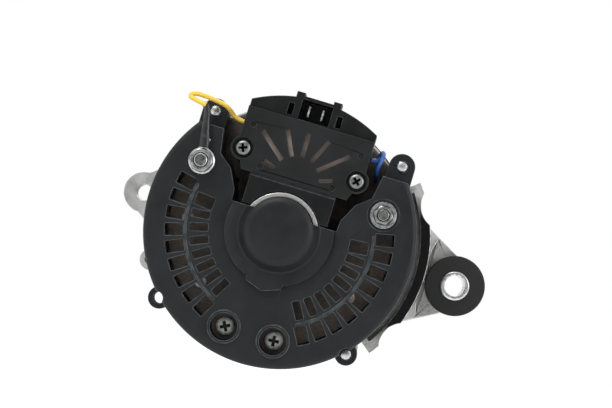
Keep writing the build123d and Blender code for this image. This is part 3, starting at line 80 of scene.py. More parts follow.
MM = 0.001
FACING_REAR = (pi / 2, 0, 0)     # turns a piece made along +Z so that it points out of the rear cover
WELD = 0.002 * MM                # points closer than this in a carried piece are one point

# Places are across, up and behind the belt groove, in millimetres, as in the CAD.
COVER_FACE = 127.0
STUD = (43.85, 21.1)             # both studs, one on each side
STUD_FOOT = 107.9
STUD_THREAD = 118.0
M5 = (2.5, 0.8)                  # a thread's radius and pitch
M6 = (3.0, 1.0)
REGULATOR_SCREW = (27.43, 32.44)
ACCESS_HOLE = (11.85, -49.3)
BOLT_CIRCLE = 64.6
BOLT_ANGLES = (45.0, 135.0, 315.0)
SHORT_BOLT_ANGLE = 208.0
BOLT_SEAT, BOLT_HEAD = 30.6, 3.6
BOLT_TIP, SHORT_BOLT_TIP = 117.4, 98.0
BOLT_THREAD = 20.1               # length of the threaded end
PULLEY_NUT_FOOT = -17.4
BOSS_RIM = (19.4 * MM, 19.9 * MM)      # radius over which the bright boss gives way to the inside, darkened as painted shade
SKIRT_RIM = (59.4 * MM, 60.2 * MM)     # radius over which the inside, darkened as painted shade, gives way to the cast skirt
RIM_FACE = (-61.9 * MM, -61.8 * MM)    # just behind and before the face of the front bracket's rim that carries painted shade
RIM_SHADE_HEIGHT = (28 * MM, 38 * MM)       # height over which that painted shade ends

slot_of = {part["node"]: part["material_slot"] for part in frame["record"]["subparts"]}
body_of = {node: body for body, nodes in frame["record"]["behaviour"]["bodies"].items() for node in nodes}


# ---------------------------------------------------------------- settings
class FinishSettings(bpy.types.PropertyGroup):
    """Colours of the alternator's finishes."""
    cover: bpy.props.FloatVectorProperty(
        name="Rear cover", description="Moulded plastic of the rear cover and the slip-ring cap",
        subtype="COLOR", size=3, default=(0.0088, 0.0104, 0.0112))
    regulator: bpy.props.FloatVectorProperty(
        name="Regulator plate", description="Moulded plastic of the slotted regulator plate",
        subtype="COLOR", size=3, default=(0.0120, 0.0124, 0.0130))
    black: bpy.props.FloatVectorProperty(
        name="Black mouldings", description="Socket, regulator body and brush holder",
        subtype="COLOR", size=3, default=(0.0072, 0.0075, 0.0080))
    casting: bpy.props.FloatVectorProperty(
        name="Castings", description="Cast aluminium of the two brackets",
        subtype="COLOR", size=3, default=(0.45, 0.45, 0.44))
    zinc: bpy.props.FloatVectorProperty(
        name="Zinc plate", description="Nuts, washers, bolts and studs",
        subtype="COLOR", size=3, default=(0.50, 0.51, 0.51))
    yellow: bpy.props.FloatVectorProperty(
        name="Yellow lead", description="Insulation of the lead to the output stud",
        subtype="COLOR", size=3, default=(0.90, 0.60, 0.07))
    blue: bpy.props.FloatVectorProperty(
        name="Blue lead", description="Insulation of the lead beside the regulator",
        subtype="COLOR", size=3, default=(0.035, 0.115, 0.38))


class DetailSettings(bpy.types.PropertyGroup):
    """Sizes of the small detail."""
    cover_edge: bpy.props.FloatProperty(
        name="Moulded edge", description="Rounding along the edges of the mouldings",
        unit="LENGTH", default=0.30 * MM)
    plate_edge: bpy.props.FloatProperty(
        name="Plate edge", description="Rounding along the edges of the slotted regulator plate",
        unit="LENGTH", default=0.15 * MM)
    cast_edge: bpy.props.FloatProperty(
        name="Cast edge", description="Rounding along the edges of the castings",
        unit="LENGTH", default=0.45 * MM)
    rim_edge: bpy.props.FloatProperty(
        name="Rim edge", description="Narrow facet along the edges of the drive-end bracket",
        unit="LENGTH", default=0.25 * MM)
    metal_edge: bpy.props.FloatProperty(
        name="Metal edge", description="Rounding along the edges of turned and stamped metal",
        unit="LENGTH", default=0.20 * MM)


class StageSettings(bpy.types.PropertyGroup):
    """Camera, floor and light."""
    place: bpy.props.FloatVectorProperty(
        name="Camera place", description="Where the camera stands", subtype="TRANSLATION", unit="LENGTH",
        size=3, default=(0.04428, -0.930, -0.00749))
    pan: bpy.props.FloatProperty(name="Pan", description="Camera turned to the left", default=0.045,
                                 subtype="ANGLE")
    tilt: bpy.props.FloatProperty(name="Tilt", description="Camera turned upwards", default=0.029,
                                  subtype="ANGLE")
    roll: bpy.props.FloatProperty(name="Roll", description="Camera rolled anticlockwise",
                                  default=radians(16.84), subtype="ANGLE")
    lens: bpy.props.FloatProperty(name="Lens", description="Focal length for a 36 mm wide sensor",
                                  default=102.41, subtype="DISTANCE_CAMERA")
    floor_drop: bpy.props.FloatProperty(
        name="Floor drop", description="How far the floor lies under the alternator, hung in its mount",
        unit="LENGTH", default=0.085)
    world_light: bpy.props.FloatProperty(name="World light", description="Even light from all round",
                                         default=0.55)
    lamp_light: bpy.props.FloatProperty(name="Lamp light", description="Strength of the soft lamps",
                                        default=1.0)


def finishes():
    """The colours as set in the panel."""
    return bpy.context.scene.alternator_finish


def detail():
    """The sizes of small detail as set in the panel."""
    return bpy.context.scene.alternator_detail


# ---------------------------------------------------------------- objects
def only(piece):
    """Leave one object selected and active."""
    bpy.ops.object.select_all(action="DESELECT")
    piece.select_set(True)
    bpy.context.view_layer.objects.active = piece
    return piece


def twin(piece):
    """A copy of an object with its own mesh."""
    only(piece)
    bpy.ops.object.duplicate()
    return bpy.context.view_layer.objects.active


def settle(piece):
    """Put the place, turn and size of an object into its mesh."""
    only(piece)
    bpy.ops.object.transform_apply(location=True, rotation=True, scale=True)
    return piece


def modify(piece, kind, **settings):
    """Add one modifier and apply it."""
    only(piece)
    modifier = piece.modifiers.new(kind.lower(), kind)
    for name, value in settings.items():
        setattr(modifier, name, value)
    bpy.ops.object.modifier_apply(modifier=modifier.name)
    return piece


def smooth(piece, angle=30):
    """Smooth shading with the edges over an angle left sharp."""
    only(piece)
    bpy.ops.object.shade_smooth_by_angle(angle=radians(angle))
    return piece


def dress(piece, name, material, body, *stands_for):
    """Name a finished piece, give it its material, and let it ride."""
    piece.name = name
    piece.data.name = name
    piece.data.materials.clear()
    piece.data.materials.append(material)
    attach(piece, body)
    if stands_for:
        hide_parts(*stands_for)
    return piece


def marked(piece, name, amount):
    """Write a number on every face of a piece, for its finish to read."""
    note = piece.data.attributes.new(name, "FLOAT", "FACE")
    for face in piece.data.polygons:
        note.data[face.index].value = amount(face)
    return piece


def rounded(piece, width, angle=30, segments=2, clamp=True):
    """Round the edges of a piece, and mark the rounding, told apart by its material slot, for a paler colour
    of wear and painted highlight.
    """
    piece.data.materials.clear()
    for _ in range(2):
        piece.data.materials.append(None)
    modify(piece, "BEVEL", width=width, segments=segments, limit_method="ANGLE", angle_limit=radians(angle),
           use_clamp_overlap=clamp, miter_outer="MITER_SHARP" if clamp else "MITER_ARC", material=1,
           face_strength_mode="FSTR_ALL")
    # The rounding is marked for a paler colour: partly wear, partly painted highlight.
    marked(piece, "pale_edge", lambda face: face.material_index)
    piece.data.materials.clear()
    for face in piece.data.polygons:
        face.material_index = 0
    return piece


def softened(node, edge, material, angle=44, segments=2):
    """A welded copy of a carried piece with its edges rounded, standing for that piece."""
    piece = twin(frame["nodes"][node])
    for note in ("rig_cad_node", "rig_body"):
        del piece[note]
    bpy.ops.object.parent_clear(type="CLEAR_KEEP_TRANSFORM")
    bpy.ops.mesh.customdata_custom_splitnormals_clear()
    bpy.ops.object.mode_set(mode="EDIT")
    bpy.ops.mesh.select_all(action="SELECT")
    bpy.ops.mesh.remove_doubles(threshold=WELD)
    bpy.ops.object.mode_set(mode="OBJECT")
    rounded(piece, edge, angle, segments, clamp=False)
    smooth(piece, 40)
    modify(piece, "WEIGHTED_NORMAL", keep_sharp=True, use_face_influence=True)
    return dress(piece, node + "_dressed", material, body_of[node], node)


# ---------------------------------------------------------------- modelling on the bench
# On the bench x is across, y is up and z is behind the belt groove, all in millimetres.
def bench(kind, **settings):
    """Add a primitive with nothing else selected."""
    bpy.ops.object.select_all(action="DESELECT")
    getattr(bpy.ops.mesh, f"primitive_{kind}_add")(**settings)
    return bpy.context.view_layer.objects.active


def on_machine(piece, across=0.0, up=0.0, behind=0.0):
    """Take a piece from the bench to its place on the alternator."""
    settle(piece)
    piece.rotation_euler = FACING_REAR
    piece.location = (across * MM, -behind * MM, up * MM)
    return settle(piece)


def edit(piece, *steps):
    """Run edit-mode operators on all of a mesh."""
    only(piece)
    bpy.ops.object.mode_set(mode="EDIT")
    for step in steps:
        bpy.ops.mesh.select_all(action="SELECT")
        step()
    bpy.ops.object.mode_set(mode="OBJECT")
    return piece


def close_up():
    """Join the points that meet, and turn every face outwards."""
    bpy.ops.mesh.remove_doubles(threshold=0.001 * MM)
    bpy.ops.mesh.select_all(action="SELECT")
    bpy.ops.mesh.normals_make_consistent(inside=False)


def drawn(points):
    """A chain of edges through (radius, along) points, drawn by extruding one vertex."""
    piece = bench("plane", size=MM)
    bpy.ops.object.mode_set(mode="EDIT")
    bpy.ops.mesh.merge(type="CENTER")
    bpy.ops.transform.translate(value=(points[0][0] * MM, 0, points[0][1] * MM))
    for start, end in zip(points, points[1:]):
        step = ((end[0] - start[0]) * MM, 0, (end[1] - start[1]) * MM)
        bpy.ops.mesh.extrude_vertices_move(TRANSFORM_OT_translate={"value": step})
    bpy.ops.object.mode_set(mode="OBJECT")
    return piece


def lathe(outline, sides=48):
    """A turned form about +Z from a (radius, along) outline."""
    def turn():
        bpy.ops.mesh.spin(steps=sides, angle=2 * pi, center=(0, 0, 0), axis=(0, 0, 1))
    return edit(drawn(outline), turn, close_up)


def combine(piece, other, how):
    """Cut, keep or join one closed form with another, which is used up."""
    modify(piece, "BOOLEAN", operation=how, object=other, solver="EXACT")
    bpy.data.objects.remove(other)
    return piece


def joined(pieces):
    """Several pieces as one mesh."""
    bpy.ops.object.select_all(action="DESELECT")
    for piece in pieces:
        piece.select_set(True)
    bpy.context.view_layer.objects.active = pieces[0]
    bpy.ops.object.join()
    return bpy.context.view_layer.objects.active


def thread(radius, pitch, start, end, point=0.8, darkness=0.0):
    """A threaded length along +Z, its ridges drawn as rings, with a chamfered point and a darkened end."""
    def on_end(face):
        return face.normal.z > 0.9 and face.center.z > (end - 0.1) * MM

    root = radius - 0.6 * pitch
    outline = [(0, start), (root, start)]
    along = start
    while along + pitch < end - point:
        outline += [(radius, along + 0.44 * pitch), (radius, along + 0.56 * pitch), (root, along + pitch)]
        along += pitch
    outline += [(radius - 0.15 * pitch, along + 0.4 * pitch), (radius - 0.15 * pitch, end - point * 0.8),
                (root, end), (0, end)]
    return marked(lathe(outline, 40), "shade_and_grime", lambda face: darkness * on_end(face))


def stud(radius, pitch, tip, point, darkness):
    """A stud with a plain foot and a threaded end."""
    plain = radius - 0.04
    return joined([
        thread(radius, pitch, STUD_THREAD, tip, point, darkness),
        lathe([(0, STUD_FOOT), (plain, STUD_FOOT), (plain, STUD_THREAD), (0, STUD_THREAD)]),
    ])


def hexagon_nut(across_flats, height, bore, foot=0.0):
    """A nut with its corners turned off at both ends and a countersunk bore."""
    corner = across_flats / 2 / cos(pi / 6)
    slope = (corner + 0.15 - across_flats / 2 * 0.97) * tan(radians(30))
    prism = bench("cylinder", vertices=6, radius=corner * MM, depth=(height - foot) * MM,
                  location=(0, 0, (height + foot) / 2 * MM), rotation=(0, 0, pi / 6))
    settle(prism)
    envelope = lathe([
        (bore, foot + 0.5), (bore + 0.5, foot), (across_flats * 0.485, foot), (corner + 0.15, foot + slope),
        (corner + 0.15, height - slope), (across_flats * 0.485, height), (bore + 0.55, height),
        (bore, height - 0.55), (bore, foot + 0.5),
    ], 64)
    return combine(prism, envelope, "INTERSECT")


def darkened_nut(across_flats, height, bore, foot=0.0):
    """A nut marked darker on its flanks and darkest in its countersink, where painted shade stands in the
    recess.
    """
    # Painted shade in the countersink; the flanks and the top are only made darker.
    def darkness(face):
        if face.center.xy.length < (bore + 0.7) * MM:
            return 0.9
        return 0.15 if face.normal.z > 0.95 else 0.6
    return marked(hexagon_nut(across_flats, height, bore, foot), "shade_and_grime", darkness)


def cross_recess(width, thickness, depth, top):
    """The cutter for a cross recess that narrows towards its bottom."""
    blades = []
    for turn in (0, pi / 2):
        blade = bench("cube", size=MM, location=(0, 0, (top - depth / 2 + 0.25) * MM))
        blade.scale = (width, thickness, depth + 0.5)
        settle(blade)
        only(blade)
        bpy.ops.object.mode_set(mode="EDIT")
        bpy.ops.mesh.select_all(action="DESELECT")
        bpy.ops.object.mode_set(mode="OBJECT")
        for corner in blade.data.vertices:
            corner.select = corner.co.z < (top - depth / 2) * MM
        bpy.ops.object.mode_set(mode="EDIT")
        bpy.ops.transform.resize(value=(0.42, 0.75, 1))
        bpy.ops.object.mode_set(mode="OBJECT")
        blade.rotation_euler = (0, 0, turn)
        blades.append(settle(blade))
    return combine(blades[0], blades[1], "UNION")


def pan_head(radius, height, shank, length):
    """A pan-head screw that stands on z 0, with a cross recess."""
    head = lathe([
        (0, -length), (shank, -length), (shank, 0), (radius, 0), (radius, height * 0.42),
        (radius * 0.955, height * 0.66), (radius * 0.84, height * 0.86), (radius * 0.62, height * 0.97),
        (radius * 0.3, height), (0, height),
    ])
    combine(head, cross_recess(radius * 1.30, radius * 0.36, height * 0.85, height), "DIFFERENCE")

    # Painted shade: the inside of the cross recess is marked to be coloured near black.
    def in_recess(face):
        below_crown = 0.05 * MM < face.center.z < 0.93 * height * MM
        return below_crown and face.center.xy.length < 0.7 * radius * MM
    return marked(head, "shade_and_grime", in_recess)


def screw_pair(name, node, material, place, behind, turns, sizes):
    """Two cross-recess screws, one on each side, standing for a carried pair."""
    screws = []
    for side, turn in zip((-1, 1), turns):
        screw = pan_head(*sizes)
        screw.rotation_euler = (0, 0, radians(turn))
        screws.append(on_machine(settle(screw), side * place[0], place[1], behind))
    pair = rounded(joined(screws), 0.07 * MM, 32)
    return dress(smooth(pair, 35), name, material, "housing", node)


def rod(points, radius, sides=8, smoothness=12):
    """A smooth lead along (across, up, behind) points, where a fourth number scales the radius."""
    curve = bpy.data.curves.new("lead", "CURVE")
    curve.dimensions = "3D"
    curve.resolution_u = smoothness
    curve.bevel_depth = radius * MM
    curve.bevel_resolution = sides // 2
    curve.use_fill_caps = True
    spline = curve.splines.new("NURBS")
    spline.points.add(len(points) - 1)
    for point, (across, up, behind, *share) in zip(spline.points, points):
        point.co = (across * MM, -behind * MM, up * MM, 1)
        point.radius = share[0] if share else 1.0
    spline.order_u = 3
    spline.use_endpoint_u = True
    lead = bpy.data.objects.new("lead", curve)
    bpy.context.collection.objects.link(lead)
    only(lead)
    bpy.ops.object.convert(target="MESH")
    return smooth(edit(bpy.context.view_layer.objects.active, close_up), 60)


# ---------------------------------------------------------------- finishes
class Finish:
    """One procedural material while its nodes are being wired. Sizes are real, in metres."""

    def __init__(self, name, colour, metal=0.0, rough=0.5, specular=0.5):
        self.material = bpy.data.materials.new(name)
        self.material.use_nodes = True
        self.nodes = self.material.node_tree.nodes
        self.links = self.material.node_tree.links
        self.shader = self.nodes["Principled BSDF"]
        self.set("Base Color", (*colour, 1.0))
        self.set("Metallic", metal)
        self.set("Roughness", rough)
        self.set("Specular IOR Level", specular)
        self.place = self.nodes.new("ShaderNodeTexCoord").outputs["Object"]

    def set(self, socket, value):
        self.shader.inputs[socket].default_value = value

    def feed(self, socket, output):
        self.links.new(output, self.shader.inputs[socket])

    def stretched(self, scale):
        """Object coordinates drawn out along an axis."""
        mapping = self.nodes.new("ShaderNodeMapping")
        mapping.inputs["Scale"].default_value = scale
        self.links.new(self.place, mapping.inputs["Vector"])
        return mapping.outputs["Vector"]

    def noise(self, size, octaves=3.0, rough=0.55, place=None):
        """Cloudy noise whose lumps are about one size across."""
        texture = self.nodes.new("ShaderNodeTexNoise")
        texture.inputs["Scale"].default_value = 1 / size
        texture.inputs["Detail"].default_value = octaves
        texture.inputs["Roughness"].default_value = rough
        self.links.new(place or self.place, texture.inputs["Vector"])
        return texture.outputs["Fac"]

    def cells(self, size):
        """Distance to the nearest of many scattered points."""
        texture = self.nodes.new("ShaderNodeTexVoronoi")
        texture.inputs["Scale"].default_value = 1 / size
        self.links.new(self.place, texture.inputs["Vector"])
        return texture.outputs["Distance"]

    def wave(self, period, kind, wobble):
        """Parallel BANDS across the rotor axis, or RINGS about it."""
        texture = self.nodes.new("ShaderNodeTexWave")
        texture.wave_type = kind
        texture.rings_direction = "Y"
        texture.bands_direction = "Y"
        texture.inputs["Scale"].default_value = 2 * pi / (20 * period)
        texture.inputs["Distortion"].default_value = wobble
        self.links.new(self.place, texture.inputs["Vector"])
        return texture.outputs["Fac"]

    def span(self, value, low, high, start=0.0, end=1.0):
        """Stretch the part of a value between start and end over low to high."""
        node = self.nodes.new("ShaderNodeMapRange")
        for socket, number in zip(("From Min", "From Max", "To Min", "To Max"), (start, end, low, high)):
            node.inputs[socket].default_value = number
        self.links.new(value, node.inputs["Value"])
        return node.outputs["Result"]

    def tint(self, value, first, second, start=0.3, end=0.7):
        """A colour between two, by a value."""
        node = self.nodes.new("ShaderNodeMix")
        node.data_type = "RGBA"
        self.links.new(self.span(value, 0, 1, start, end), node.inputs["Factor"])
        for index, colour in ((6, first), (7, second)):
            if isinstance(colour, bpy.types.NodeSocket):
                self.links.new(colour, node.inputs[index])
            else:
                node.inputs[index].default_value = (*colour, 1.0)
        return node.outputs[2]

    def note(self, name):
        """A number that a piece's faces carry, or nought."""
        reader = self.nodes.new("ShaderNodeAttribute")
        reader.attribute_name = name
        return reader.outputs["Fac"]

    def worn_and_highlighted(self, colour, edge_colour, share=1.0):
        """Let a paler colour show on the rounded edges, more in some places than in others: partly wear,
        partly a painted highlight along the edges.
        """
        amount = self.nodes.new("ShaderNodeMath")
        amount.operation = "MULTIPLY"
        self.links.new(self.note("pale_edge"), amount.inputs[0])
        self.links.new(self.span(self.noise(3 * MM, 4.0), 0.35 * share, share, 0.38, 0.58), amount.inputs[1])
        return self.tint(amount.outputs[0], colour, edge_colour, 0.0, 1.0)

    def grime_and_shade(self, colour, grime_and_shade_colour):
        """Let a dark colour lie on the marked faces: painted shade in recesses and under things, with some
        grime.
        """
        return self.tint(self.note("shade_and_grime"), colour, grime_and_shade_colour, 0.0, 1.0)

    def radius(self):
        """Distance from the rotor axis."""
        length = self.nodes.new("ShaderNodeVectorMath")
        length.operation = "LENGTH"
        self.links.new(self.stretched((1.0, 0.0, 1.0)), length.inputs[0])
        return length.outputs["Value"]

    def along(self, axis="Y"):
        """Place along an axis. Along the rotor's, Y, it is less towards the rear."""
        parts = self.nodes.new("ShaderNodeSeparateXYZ")
        self.links.new(self.place, parts.inputs[0])
        return parts.outputs[axis]

    def height(self):
        """Distance above or below the rotor axis."""
        size = self.nodes.new("ShaderNodeMath")
        size.operation = "ABSOLUTE"
        self.links.new(self.along("Z"), size.inputs[0])
        return size.outputs[0]

    def bump(self, height, depth, below=None):
        """Raise the surface by a height pattern, over another bump if given."""
        node = self.nodes.new("ShaderNodeBump")
        node.inputs["Distance"].default_value = depth
        node.inputs["Strength"].default_value = 1.0
        self.links.new(height, node.inputs["Height"])
        if below is not None:
            self.links.new(below, node.inputs["Normal"])
        return node.outputs["Normal"]


def shade(colour, factor):
    """A colour made darker or paler."""
    return tuple(min(1.0, channel * factor) for channel in colour)


def moulding(name, colour, rough=0.46, specular=0.24, pale_edge=1.0):
    """Moulded plastic with a fine eroded grain, slightly dusty in patches."""
    finish = Finish(name, colour, rough=rough, specular=specular)
    cloud = finish.noise(11 * MM)
    fine = finish.noise(0.30 * MM, 2.0)
    mixed = finish.tint(cloud, shade(colour, 0.82), shade(colour, 1.22))
    # The rounded edges turn paler: partly wear, partly a painted highlight along the edges.
    finish.feed("Base Color", finish.worn_and_highlighted(mixed, shade(colour, 8.0), pale_edge))
    finish.feed("Roughness", finish.span(cloud, rough - 0.05, rough + 0.09, 0.3, 0.7))
    finish.feed("Normal", finish.bump(fine, 0.020 * MM, finish.bump(cloud, 0.03 * MM)))
    return finish.material


def casting(name, colour):
    """Cast aluminium: grainy, paler on its rounded edges from wear and painted highlight, with painted shade,
    near black, on the face that meets the stator.
    """
    finish = Finish(name, colour, metal=0.92, rough=0.46)
    skin = finish.noise(0.9 * MM, 5.0, 0.65)
    patches = finish.noise(9 * MM, 4.0)
    pits = finish.cells(1.6 * MM)
    mixed = finish.tint(patches, shade(colour, 0.66), shade(colour, 1.12))
    # Painted shade: near the rotor axis's height, the rim's rear face turns near black, standing in for the
    # shadowed gap beside the cover.
    rim_shade = finish.tint(finish.height(), (0.012, 0.012, 0.013), mixed, *RIM_SHADE_HEIGHT)
    mixed = finish.tint(finish.along(), rim_shade, mixed, *RIM_FACE)
    finish.feed("Base Color", finish.worn_and_highlighted(mixed, shade(colour, 1.7)))
    finish.feed("Roughness", finish.span(patches, 0.38, 0.60, 0.3, 0.7))
    finish.feed("Normal", finish.bump(skin, 0.10 * MM, finish.bump(pits, 0.05 * MM)))
    return finish.material


def rear_casting(name, colour):
    """The rear bracket: a machined boss, an inside darkened with painted shade, and a plain cast skirt."""
    boss, stain_and_shade = (0.62, 0.61, 0.60), (0.050, 0.042, 0.036)
    finish = Finish(name, colour, metal=0.85, rough=0.45)
    skin = finish.noise(0.9 * MM, 5.0, 0.65)
    patches = finish.noise(7 * MM, 4.0)
    # Painted shade: between the boss and the skirt the inside is coloured dark brown, where little light
    # reaches.
    shaded_patches = finish.tint(patches, stain_and_shade, shade(stain_and_shade, 2.2), 0.35, 0.75)
    from_axis = finish.radius()
    inside = finish.tint(from_axis, boss, shaded_patches, *BOSS_RIM)
    finish.feed("Base Color", finish.tint(from_axis, inside, colour, *SKIRT_RIM))
    finish.feed("Roughness", finish.span(from_axis, 0.30, 0.60, *BOSS_RIM))
    finish.feed("Normal", finish.bump(skin, 0.08 * MM))
    return finish.material


def turned(name, colour, rough=0.26):
    """Metal turned on a lathe about the rotor axis."""
    finish = Finish(name, colour, metal=1.0, rough=rough)
    rings = finish.wave(0.35 * MM, "RINGS", 0.6)
    patches = finish.noise(6 * MM)
    finish.feed("Base Color", finish.tint(patches, shade(colour, 0.84), shade(colour, 1.1)))
    finish.feed("Roughness", finish.span(rings, rough - 0.05, rough + 0.10))
    finish.feed("Normal", finish.bump(rings, 0.012 * MM, finish.bump(patches, 0.02 * MM)))
    return finish.material


def plated(name, colour, rough=0.27, metal=1.0, spots=2.4, dark=0.62, pale=1.25):
    """Zinc plate over stamped or rolled steel, with dull spots."""
    finish = Finish(name, colour, metal=metal, rough=rough)
    bloom = finish.noise(spots * MM, 4.0, 0.6)
    scratch = finish.noise(1.2 * MM, 2.0, place=finish.stretched((1.0, 7.0, 1.0)))
    mixed = finish.tint(bloom, shade(colour, dark), shade(colour, pale))
    # The marked faces turn near black, as painted shade in recesses and under nuts with some grime; the
    # rounded edges turn paler from wear and painted highlight.
    finish.feed("Base Color", finish.grime_and_shade(finish.worn_and_highlighted(mixed, shade(colour, 1.8)), shade(colour, 0.03)))
    finish.feed("Roughness", finish.span(bloom, rough - 0.07, rough + 0.16, 0.3, 0.7))
    finish.feed("Normal", finish.bump(scratch, 0.012 * MM, finish.bump(bloom, 0.02 * MM)))
    return finish.material


def ground_steel(name, colour):
    """Hardened, ground and polished steel."""
    rough = 0.16
    finish = Finish(name, colour, metal=1.0, rough=rough)
    haze = finish.noise(3 * MM)
    finish.feed("Base Color", finish.tint(haze, shade(colour, 0.9), shade(colour, 1.08)))
    finish.feed("Roughness", finish.span(haze, rough - 0.04, rough + 0.06, 0.3, 0.7))
    return finish.material


def rubber(name):
    """Matte rubber with a fine skin and a trace of dust."""
    black, dust = (0.0095, 0.0100, 0.0100), (0.0220, 0.0220, 0.0215)
    finish = Finish(name, black, rough=0.74, specular=0.30)
    skin = finish.noise(0.45 * MM, 3.0)
    dusty = finish.noise(5 * MM, 4.0)
    finish.feed("Base Color", finish.tint(dusty, black, dust, 0.35, 0.8))
    finish.feed("Roughness", finish.span(dusty, 0.66, 0.86, 0.3, 0.7))
    finish.feed("Normal", finish.bump(skin, 0.03 * MM))
    return finish.material


def heat_shrink(name):
    """Shrunk black tube, tight and a little glossy."""
    black, grey = (0.0080, 0.0080, 0.0082), (0.0300, 0.0300, 0.0300)
    finish = Finish(name, black, rough=0.34, specular=0.5)
    handled = finish.noise(1.6 * MM, 4.0)
    finish.feed("Base Color", finish.tint(handled, black, grey, 0.45, 0.85))
    finish.feed("Roughness", finish.span(handled, 0.26, 0.48, 0.3, 0.7))
    finish.feed("Normal", finish.bump(handled, 0.10 * MM))
    return finish.material


def laminations(name):
    """A lacquered stack of thin sheets: fine bands along the rotor axis."""
    black, edge = (0.0090, 0.0095, 0.0100), (0.0650, 0.0620, 0.0580)
    finish = Finish(name, black, rough=0.42, specular=0.45)
    sheets = finish.wave(0.5 * MM, "BANDS", 0.25)
    drips = finish.noise(5 * MM, 3.0, place=finish.stretched((1.0, 0.25, 1.0)))
    streaks = finish.noise(1.5 * MM, 3.0, place=finish.stretched((0.3, 3.0, 0.3)))
    lined = finish.tint(sheets, black, shade(black, 2.6), 0.2, 0.9)
    finish.feed("Base Color", finish.tint(streaks, lined, edge, 0.54, 0.78))
    finish.feed("Roughness", finish.span(drips, 0.30, 0.58, 0.3, 0.7))
    finish.feed("Normal", finish.bump(sheets, 0.05 * MM, finish.bump(drips, 0.12 * MM)))
    return finish.material


def enamelled_copper(name):
    """Copper wire under brown enamel and dipping varnish."""
    copper, varnish = (0.50, 0.185, 0.065), (0.23, 0.070, 0.022)
    finish = Finish(name, copper, metal=0.75, rough=0.30)
    pooled = finish.noise(3.5 * MM, 4.0)
    finish.feed("Base Color", finish.tint(pooled, copper, varnish, 0.38, 0.66))
    finish.feed("Roughness", finish.span(pooled, 0.22, 0.46, 0.3, 0.7))
    finish.feed("Normal", finish.bump(pooled, 0.08 * MM))
    finish.set("Coat Weight", 0.35)
    finish.set("Coat Roughness", 0.18)
    return finish.material


def dark_steel(name):
    """Forged pole steel under a thin brown-black lacquered coat."""
    dark, warm = (0.085, 0.080, 0.076), (0.17, 0.145, 0.125)
    finish = Finish(name, dark, metal=0.85, rough=0.42)
    scale = finish.noise(4 * MM, 5.0, 0.6)
    finish.feed("Base Color", finish.tint(scale, dark, warm, 0.35, 0.75))
    finish.feed("Roughness", finish.span(scale, 0.34, 0.56, 0.3, 0.7))
    finish.feed("Normal", finish.bump(scale, 0.06 * MM))
    return finish.material


def dull_sheet(name, colour, metal=0.55):
    """Stamped sheet that has gone dull and brownish behind the vents."""
    finish = Finish(name, colour, metal=metal, rough=0.48)
    stain_and_shade = finish.noise(6 * MM, 4.0, 0.6)
    brush = finish.noise(0.5 * MM, 2.0, place=finish.stretched((0.12, 1.0, 1.0)))
    finish.feed("Base Color", finish.tint(stain_and_shade, shade(colour, 0.72), shade(colour, 1.2)))
    finish.feed("Roughness", finish.span(brush, 0.38, 0.60, 0.3, 0.7))
    finish.feed("Normal", finish.bump(brush, 0.015 * MM))
    return finish.material


def board(name):
    """Pressed insulating board and moulded phenolic, fibrous and brown."""
    brown, pale = (0.045, 0.036, 0.030), (0.130, 0.108, 0.092)
    finish = Finish(name, brown, rough=0.55, specular=0.35)
    fibre = finish.noise(0.8 * MM, 4.0, place=finish.stretched((0.35, 1.0, 1.6)))
    finish.feed("Base Color", finish.tint(fibre, brown, pale))
    finish.feed("Roughness", finish.span(fibre, 0.46, 0.68, 0.3, 0.7))
    finish.feed("Normal", finish.bump(fibre, 0.03 * MM))
    return finish.material


def insulation(name, colour, rough=0.36):
    """Soft plastic over a lead, a little handled and dusty."""
    finish = Finish(name, colour, rough=rough, specular=0.45)
    handled = finish.noise(3.2 * MM, 4.0)
    ripple = finish.noise(1.1 * MM, 2.0)
    finish.feed("Base Color", finish.tint(handled, shade(colour, 0.78), shade(colour, 1.12)))
    finish.feed("Roughness", finish.span(handled, rough - 0.05, rough + 0.14, 0.3, 0.7))
    finish.feed("Normal", finish.bump(ripple, 0.05 * MM))
    return finish.material


def carbon(name):
    """Pressed carbon and copper powder."""
    dark, glint = (0.030, 0.027, 0.026), (0.20, 0.10, 0.06)
    finish = Finish(name, dark, rough=0.52, specular=0.4)
    specks = finish.noise(0.22 * MM, 2.0)
    finish.feed("Base Color", finish.tint(specks, dark, glint, 0.60, 0.74))
    finish.feed("Roughness", finish.span(specks, 0.44, 0.62, 0.3, 0.7))
    return finish.material


def make_finishes():
    """Every material, by the record's slot."""
    look = finishes()
    return {
        "cast_aluminium": casting("cast aluminium", tuple(look.casting)),
        "machined_aluminium": dull_sheet("stamped aluminium", (0.20, 0.175, 0.150)),
        "black_laminations": laminations("lacquered laminations"),
        "copper_wire": enamelled_copper("enamelled copper"),
        "dark_steel": dark_steel("pole steel"),
        "steel": turned("turned steel", (0.58, 0.58, 0.58)),
        "zinc_plate": plated("zinc plate", tuple(look.zinc)),
        "bearing_steel": ground_steel("bearing steel", (0.60, 0.60, 0.61)),
        "rubber": rubber("black rubber"),
        "cover_plastic": moulding("cover moulding", tuple(look.cover)),
        "black_plastic": moulding("black moulding", tuple(look.black), rough=0.42, specular=0.16,
                                  pale_edge=0.7),
        "regulator_plastic": moulding("regulator moulding", tuple(look.regulator), rough=0.50, specular=0.16,
                                      pale_edge=0.4),
        "regulator_sink": dull_sheet("regulator heat sink", (0.40, 0.335, 0.295), metal=0.0),
        "insulation": board("insulating board"),
        "copper": turned("copper rings", (0.72, 0.33, 0.17), rough=0.20),
        "carbon": carbon("brush carbon"),
        "grey_screw": plated("grey screw", (0.20, 0.205, 0.205), rough=0.36),
        "diode_metal": plated("diode case", (0.50, 0.47, 0.42), rough=0.34),
        "tin_plate": plated("tin plate", (0.70, 0.69, 0.65), rough=0.24),
        "yellow_insulation": insulation("yellow insulation", tuple(look.yellow)),
        "blue_insulation": insulation("blue insulation", tuple(look.blue), rough=0.30),
    }


material_of = {}


